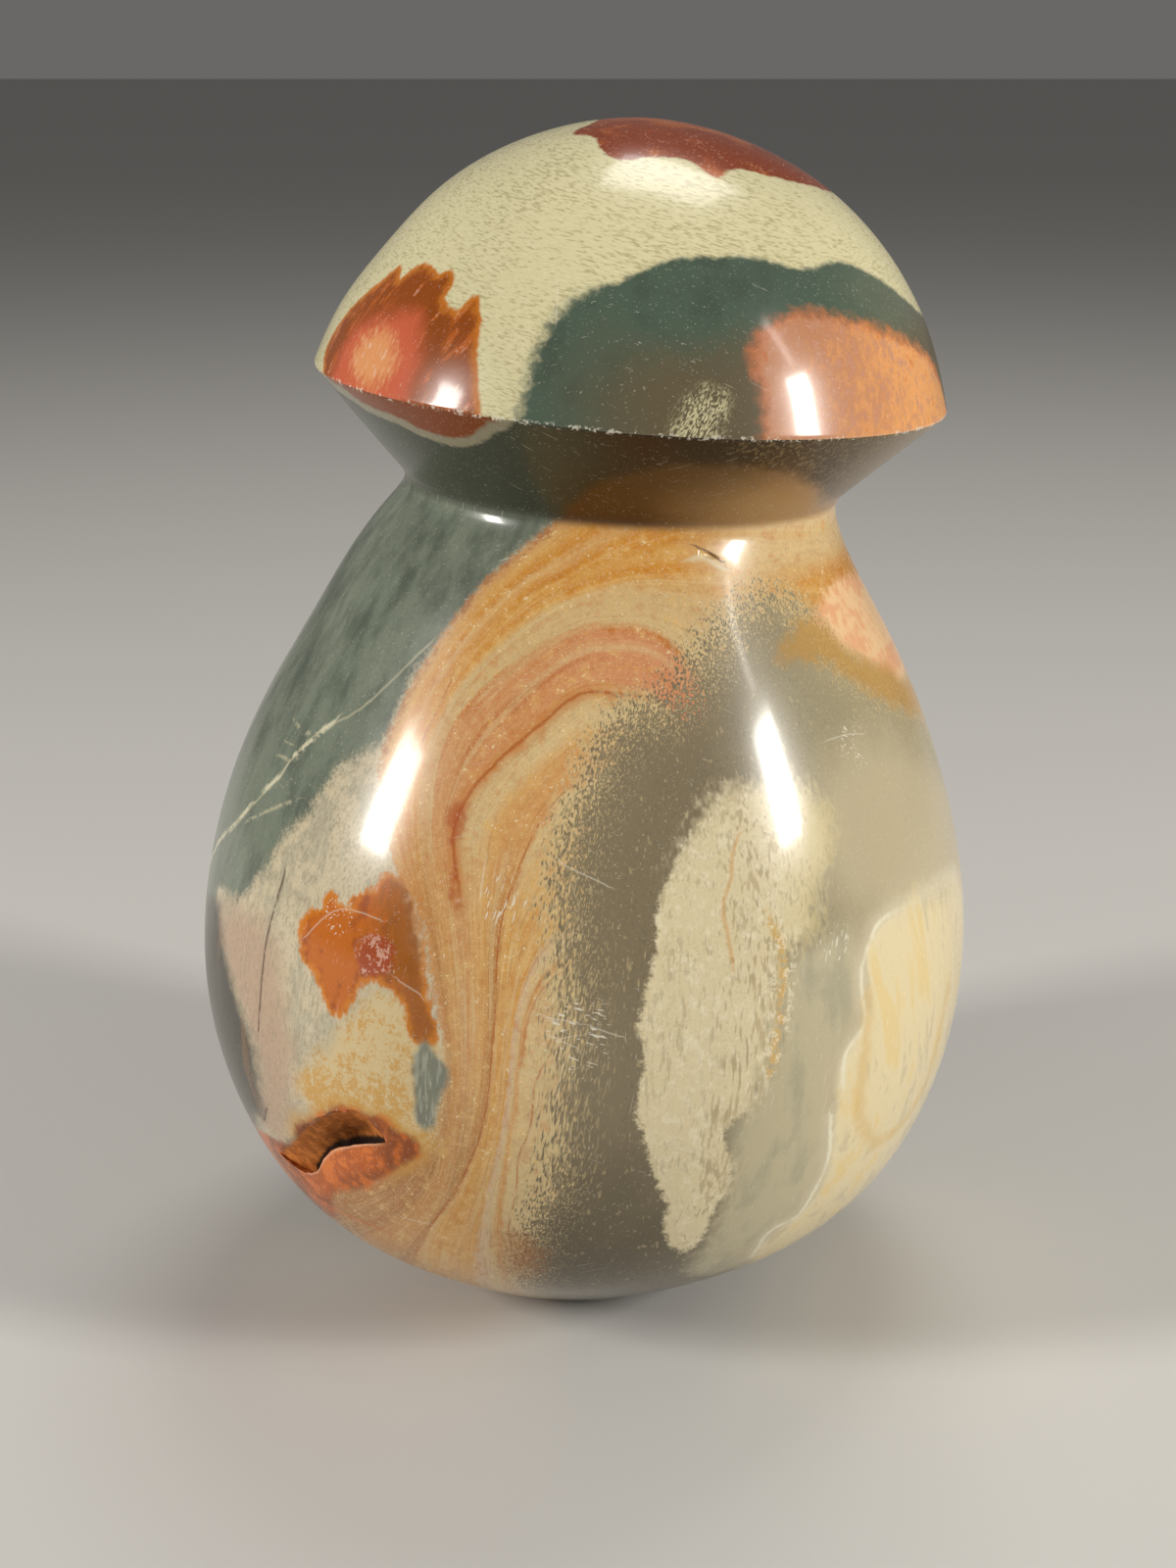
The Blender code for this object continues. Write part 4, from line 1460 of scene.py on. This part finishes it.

# %% [markdown]
# The underside of the cap is painted darker than the rest, as painted shade over the stone's own
# colours: dark green at the left, brown in the middle, where a tongue of the flow reaches up into it, and
# olive at the right. The rust patch comes round the rim and has a pale edge there.

# %% Underside of the cap
SHADED_UNDER_GREEN = rgb(60, 64, 50)
SHADED_UNDER_OLIVE = rgb(52, 50, 34)
SHADED_UNDER_BROWN = rgb(50, 30, 6)
SHADED_UNDER_RIGHT = rgb(94, 76, 42)
UNDER_FAR = rgb(130, 110, 76)
SHADED_TONGUE_BROWN = rgb(84, 54, 18)
TONGUE_TAN = rgb(158, 122, 76)
UNDER_RUST = rgb(122, 56, 0)
UNDER_PALE = rgb(158, 150, 124)
UNDER_SPAN = 80  # the colours of the underside change over this width, in millimetres

side = x_mm + (clouds - 0.5) * 10
# Painted shade: the ramp runs over the stone's green, olive and brown, darkened to stand for the shade
# under the cap.
under = ramp(side / UNDER_SPAN + 0.5, [
    (0.0, SHADED_UNDER_GREEN), (0.44, SHADED_UNDER_GREEN), (0.51, SHADED_UNDER_OLIVE), (0.57, SHADED_UNDER_BROWN), (0.74, SHADED_UNDER_BROWN),
    (0.85, SHADED_UNDER_RIGHT), (0.94, UNDER_FAR),
])
# Painted shade on the tongue: dark brown up by the rim and at its left, tan lower down at the right.
tongue = blend(SHADED_TONGUE_BROWN, TONGUE_TAN, rise(side, 6, 20) * rise(level, 100, 93))
under = blend(under, tongue, ragged("flow_outer", soft=1.0, blotches_by=1.0, specks_by=0.5))
olive_mask = ragged("olive_under", soft=1.5, blotches_by=1.2) * rise(streaks, 0.5, 0.62)
under = blend(under, UNDER_FAR, olive_mask * 0.5)
near_rust = attribute("rust_under") + (specks - 0.5) * 0.8
under = blend(under, UNDER_PALE, rise(near_rust, -1.7, -1.1) * 0.7)
under = blend(under, UNDER_RUST, ragged("rust_under", soft=0.35, specks_by=0.6))
colour = blend(colour, under, on_underside)
print("painted the underside of the cap")

# %% [markdown]
# A pale vein crosses the green, with knots on it and a few twigs, and a dark crack runs down through the
# mauve. Both lie over everything else. The little chip below the neck has a painted shadow along its edge
# and painted light on its pale face.

# %% Veins and cracks
VEIN = rgb(188, 182, 152)
VEIN_KNOT_AND_CHIP_LIGHT = rgb(214, 208, 178)
CRACK_AND_CHIP_SHADOW = rgb(74, 46, 34)

colour = blend(colour, VEIN, thin("vein", 0.12, 0.2, 0.15) * 0.6)
colour = blend(colour, VEIN_KNOT_AND_CHIP_LIGHT, thin("vein_knots", 0.5, 0.35, 0.5) * rise(specks, 0.38, 0.52) * 0.9)
colour = blend(colour, VEIN, thin("vein_twigs", 0.25, 0.25, 0.4) * rise(specks, 0.4, 0.55) * 0.7)
colour = blend(colour, CRACK_AND_CHIP_SHADOW, thin("cracks", 0.24, 0.18, 0.1) * rise(specks, 0.3, 0.45) * 0.85)
# Painted light on the chip's face and a painted shadow along its edge.
colour = blend(colour, VEIN_KNOT_AND_CHIP_LIGHT, thin("chip_face", 0.5, 0.3, 0.3) * 0.6)
colour = blend(colour, CRACK_AND_CHIP_SHADOW, thin("chip_edge", 0.16, 0.16, 0.08) * 0.8)
print("drew the vein and the crack")

# %% [markdown]
# Nobody polished the inside of the cavity: it is rough, dull and brown. Its crevice gets painted shade,
# dark where little light gets in. Three more attributes tell where that is. One is how deep a point lies
# below the skin of the stone. For the painted shade of the crevice, a straight line is followed from each
# point to the camera's place, in front of the stone and above it: where it leaves the stone, its height
# over the lower lip is kept, and what lies behind the lip from there is painted dark. The last one is for
# the outside of the lip, and says how far below its edge a point lies.

# %% Inside the cavity
CAVITY_SIDES = (-62, -24)
CAVITY_HEIGHTS = (18, 37)
CREVICE_END = -44.5  # left of this bearing the hollow is too shallow to be dark
SKIN = 0.3  # a point less deep than this is on the outside, in millimetres
PAINTED_SHADE_FROM = np.array((0.5, -253, 139))  # the camera's place, from which the crevice's shade is painted, in millimetres


def lip_height(bearings):
    return np.interp(bearings, [cut.bearing for cut in CAVITY], [cut.lower_lip for cut in CAVITY])


skin_radius = np.interp(height, ring_heights, ring_radii)
hollow_depth = skin_radius - girth
near_cavity = (bearing > CAVITY_SIDES[0]) & (bearing < CAVITY_SIDES[1])
near_cavity &= (height > CAVITY_HEIGHTS[0]) & (height < CAVITY_HEIGHTS[1])
store("hollow", np.where(near_cavity, np.clip(hollow_depth, 0, FAR), 0))

way_out = PAINTED_SHADE_FROM - places
squared = (way_out[:, :2] ** 2).sum(axis=1)
outward = (way_out[:, :2] * places[:, :2]).sum(axis=1)
inside_by = np.minimum(girth**2 - skin_radius**2, 0)
share_of_way = (np.sqrt(outward**2 - squared * inside_by) - outward) / squared
crossing = places + way_out * share_of_way[:, None]
crossing_bearing = np.degrees(np.arctan2(crossing[:, 0], -crossing[:, 1]))
over_lip = crossing[:, 2] - lip_height(crossing_bearing) + np.clip(CREVICE_END - crossing_bearing, 0, FAR)
store("over_lip", np.where(near_cavity, np.clip(over_lip, -FAR, FAR), FAR))

below_lip = np.where(near_cavity & (hollow_depth < SKIN), lip_height(bearing) - height, -FAR)
store("below_lip", np.clip(below_lip, -FAR, FAR))
print("the hollow is", round(float(hollow_depth[near_cavity].max()), 1), "mm deep")

# %% [markdown]
# The wheel and years on a shelf have left fine scratches. A fine scratch is a noise drawn out to a thread
# and cut off near its top, and three sets of them run in different directions. A few long scratches are
# the lines drawn before. Here and there is a scuff, a small round place full of short strokes.

# %% Fine scratches
# The turn of each set of threads, their length and thickness in millimetres, and how many there are
THREADS = (
    ((0, 10, 0), 6, 0.16, 0.28),
    ((0, -62, 10), 5, 0.14, 0.27),
    ((0, 74, -10), 6, 0.14, 0.27),
)
# How the strokes of a scuff are turned, and each scuff's bearing, height and reach in millimetres
SCUFFS = (
    ((0, 104, 10), ((-1, 45.5, 4.5), (48, 69, 3.0), (-37, 54, 2.4))),
    ((0, 18, 30), ((36.5, 51, 2.6), (-12, 58, 3.0))),
)
STROKE_LENGTH, STROKE_WIDTH, STROKE_AMOUNT = 2.6, 0.24, 0.36
THREAD_EDGE = 0.04


def fine_scratches(turn, length, thickness, amount):
    thread = noise(stretched(here, (thickness, thickness, length), turn), detail=1, roughness=0.4)
    return rise(thread, 1 - amount, 1 - amount + THREAD_EDGE)


scratch = reduce(either, (fine_scratches(*settings) for settings in THREADS))
scuff = thin("scratches", 0.06, 0.12, 0.06) * 0.5
for turn, scuffed in SCUFFS:
    strokes = fine_scratches(turn, STROKE_LENGTH, STROKE_WIDTH, STROKE_AMOUNT)
    for centre_bearing, centre_height, reach in scuffed:
        centre = on_stem(centre_bearing, centre_height) * MM
        distance = Field.node("VectorMath", {"operation": "DISTANCE"}, {0: here, 1: centre}, "Value") / MM
        scuff = either(scuff, strokes * rise(distance, reach, reach * 0.7))
# Pale specks along the rim: partly nicks in its edge and partly painted glints on the chips.
rim_nicks_and_glints = rise(abs(attribute("above_rim")), 0.4, 0.1) * rise(specks + (grains - 0.5) * 0.8, 0.56, 0.66)
print(len(THREADS), "sets of threads and", sum(len(scuffed) for _, scuffed in SCUFFS), "scuffs")

# %% [markdown]
# The last layers are the bright face of the lower lip with a painted highlight along its edge, the
# scratches, the nicks along the rim, partly painted glints, and over all of them the inside of the cavity
# with the painted shade of its crevice.

# %% Lip, scratches and hollow
SCRATCH_AND_GLINT = rgb(228, 222, 204)
SLOPE = rgb(176, 102, 42)
SLOPE_BRIGHT = rgb(208, 126, 58)
CREVICE_SHADE = rgb(44, 24, 12)
LIP_ORANGE = rgb(188, 92, 22)
LIP_BRIGHT = rgb(222, 120, 44)
LIP_HIGHLIGHT = rgb(232, 178, 140)

under_lip = attribute("below_lip")
lip_side = x_mm + (blotches - 0.5) * 2
along_lip = rise(lip_side, -32, -28.5) * rise(lip_side, -19.5, -22)
lip_face = blend(LIP_ORANGE, LIP_BRIGHT, rise(blotches + (specks - 0.5) * 0.6, 0.44, 0.6))
lip_here = rise(under_lip, 0, 0.15) * rise(under_lip + (blotches - 0.5) * 2, 4.4, 2.8) * along_lip
lip_highlight = rise(under_lip, 0, 0.1) * rise(under_lip, 0.5, 0.2) * along_lip
slope = blend(SLOPE, SLOPE_BRIGHT, rise(specks, 0.45, 0.6))
# Painted shade: the crevice is dark where the line to the camera's place passes behind the lower lip.
slope = blend(slope, CREVICE_SHADE, rise(attribute("over_lip") + (specks - 0.5) * 0.6, 1.1, 0.5))
hollow = rise(attribute("hollow"), 0.25, 0.6)

colour = blend(colour, lip_face, lip_here * 0.85)
# Painted highlight: a pale line along the edge of the lower lip.
colour = blend(colour, LIP_HIGHLIGHT, lip_highlight * 0.6)
colour = blend(colour, SCRATCH_AND_GLINT, scratch * 0.3)
# Partly painted glints: pale specks along the rim.
colour = blend(colour, SCRATCH_AND_GLINT, rim_nicks_and_glints * 0.7)
colour = blend(colour, SCRATCH_AND_GLINT, scuff * 0.75)
colour = blend(colour, slope, hollow)
print("painted the lip, the scratches and the hollow")

# %% [markdown]
# The polish itself is two layers: the stone, a little rough, and a clear smooth coat over it that mirrors
# the lamps. Scratches roughen the stone. The hollow has no coat, and the underside of the cap, hard to
# reach with a wheel, has only a part of it.

# %% Gloss
QUARTZ_IOR = 1.5
SPECULAR_LEVEL = 0.3
STONE_ROUGHNESS = 0.26
COAT_ROUGHNESS = 0.1
COAT_WEIGHT = 0.36

roughness = STONE_ROUGHNESS + (clouds - 0.5) * 0.08 + scratch * 0.12 + hollow * 0.5
coat = (1 - either(hollow, on_underside * 0.7)) * COAT_WEIGHT

surface = tree.nodes["Principled BSDF"]
surface.inputs["IOR"].default_value = QUARTZ_IOR
surface.inputs["Specular IOR Level"].default_value = SPECULAR_LEVEL
surface.inputs["Coat Roughness"].default_value = COAT_ROUGHNESS
surface.inputs["Coat IOR"].default_value = QUARTZ_IOR
for name, field in (("Base Color", colour), ("Roughness", roughness), ("Coat Weight", coat)):
    tree.links.new(field.socket, surface.inputs[name])
stone_mesh.materials.clear()
stone_mesh.materials.append(jasper)
print("the material has", len(tree.nodes), "nodes")

# %% [markdown]
# The piece takes the place of the plain solid, which stays in the physics model. It rides on the one body
# there is.

# %% The piece
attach(stone, "root")
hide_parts("mushroom_carving")
print(stone.name, "stands for the whole solid")

# %% [markdown]
# The floor is plain, pale and dull like paper, and so wide that its far edge is out of the way.

# %% Floor
FLOOR_SIZE = 12.0
PAPER = (0.56, 0.55, 0.53, 1)
PAPER_ROUGHNESS = 0.75

bpy.ops.object.select_all(action="DESELECT")
bpy.ops.mesh.primitive_plane_add(size=FLOOR_SIZE)
floor = bpy.context.object
floor.name = "floor"
paper = bpy.data.materials.new("pale_floor")
paper.use_nodes = True
paper_surface = paper.node_tree.nodes["Principled BSDF"]
paper_surface.inputs["Base Color"].default_value = PAPER
paper_surface.inputs["Roughness"].default_value = PAPER_ROUGHNESS
floor.data.materials.append(paper)
print("the floor is", FLOOR_SIZE, "m wide")

# %% [markdown]
# The light is a photographer's: a tall soft lamp at each side, whose mirror images are the two bright
# streaks down the stem and the cap, a narrow strip that draws the right streak out upwards, and a wide
# lamp overhead and a little behind for the glow on the crown. Each lamp's place is given as seen from the
# stone: a bearing, an elevation and a distance. A weak light from all round keeps the shadows soft.

# %% Light
Lamp = namedtuple("Lamp", "bearing elevation distance width height power")  # degrees, metres and watts

LAMPS = {
    "left_softbox": Lamp(-69, 21, 0.75, 0.13, 0.22, 4.4),
    "right_softbox": Lamp(65, 20, 0.75, 0.11, 0.22, 4.4),
    "top_softbox": Lamp(160, 66, 0.8, 0.34, 0.28, 1.9),
    "right_strip": Lamp(66, 39, 0.75, 0.03, 0.2, 0.3),
}
LAMP_COLOUR = (1.0, 0.97, 0.92)
AIM = Vector((2, 0, 75)) * MM
ROOM_COLOUR = (1.0, 0.98, 0.95, 1)
ROOM_STRENGTH = 0.14


def add_lamp(name, lamp):
    turn, up = math.radians(lamp.bearing), math.radians(lamp.elevation)
    toward_lamp = Vector((math.sin(turn) * math.cos(up), -math.cos(turn) * math.cos(up), math.sin(up)))
    light = bpy.data.lights.new(name, "AREA")
    light.shape = "RECTANGLE"
    light.size = lamp.width
    light.size_y = lamp.height
    light.energy = lamp.power
    light.color = LAMP_COLOUR
    holder = bpy.data.objects.new(name, light)
    holder.location = AIM + toward_lamp * lamp.distance
    holder.rotation_euler = toward_lamp.to_track_quat("Z", "Y").to_euler()
    bpy.context.scene.collection.objects.link(holder)


for name, lamp in LAMPS.items():
    add_lamp(name, lamp)

room = bpy.data.worlds.new("soft room")
room.use_nodes = True
background = room.node_tree.nodes["Background"]
background.inputs["Color"].default_value = ROOM_COLOUR
background.inputs["Strength"].default_value = ROOM_STRENGTH
bpy.context.scene.world = room
bpy.context.scene.view_settings.view_transform = "Standard"
print(len(LAMPS), "lamps")
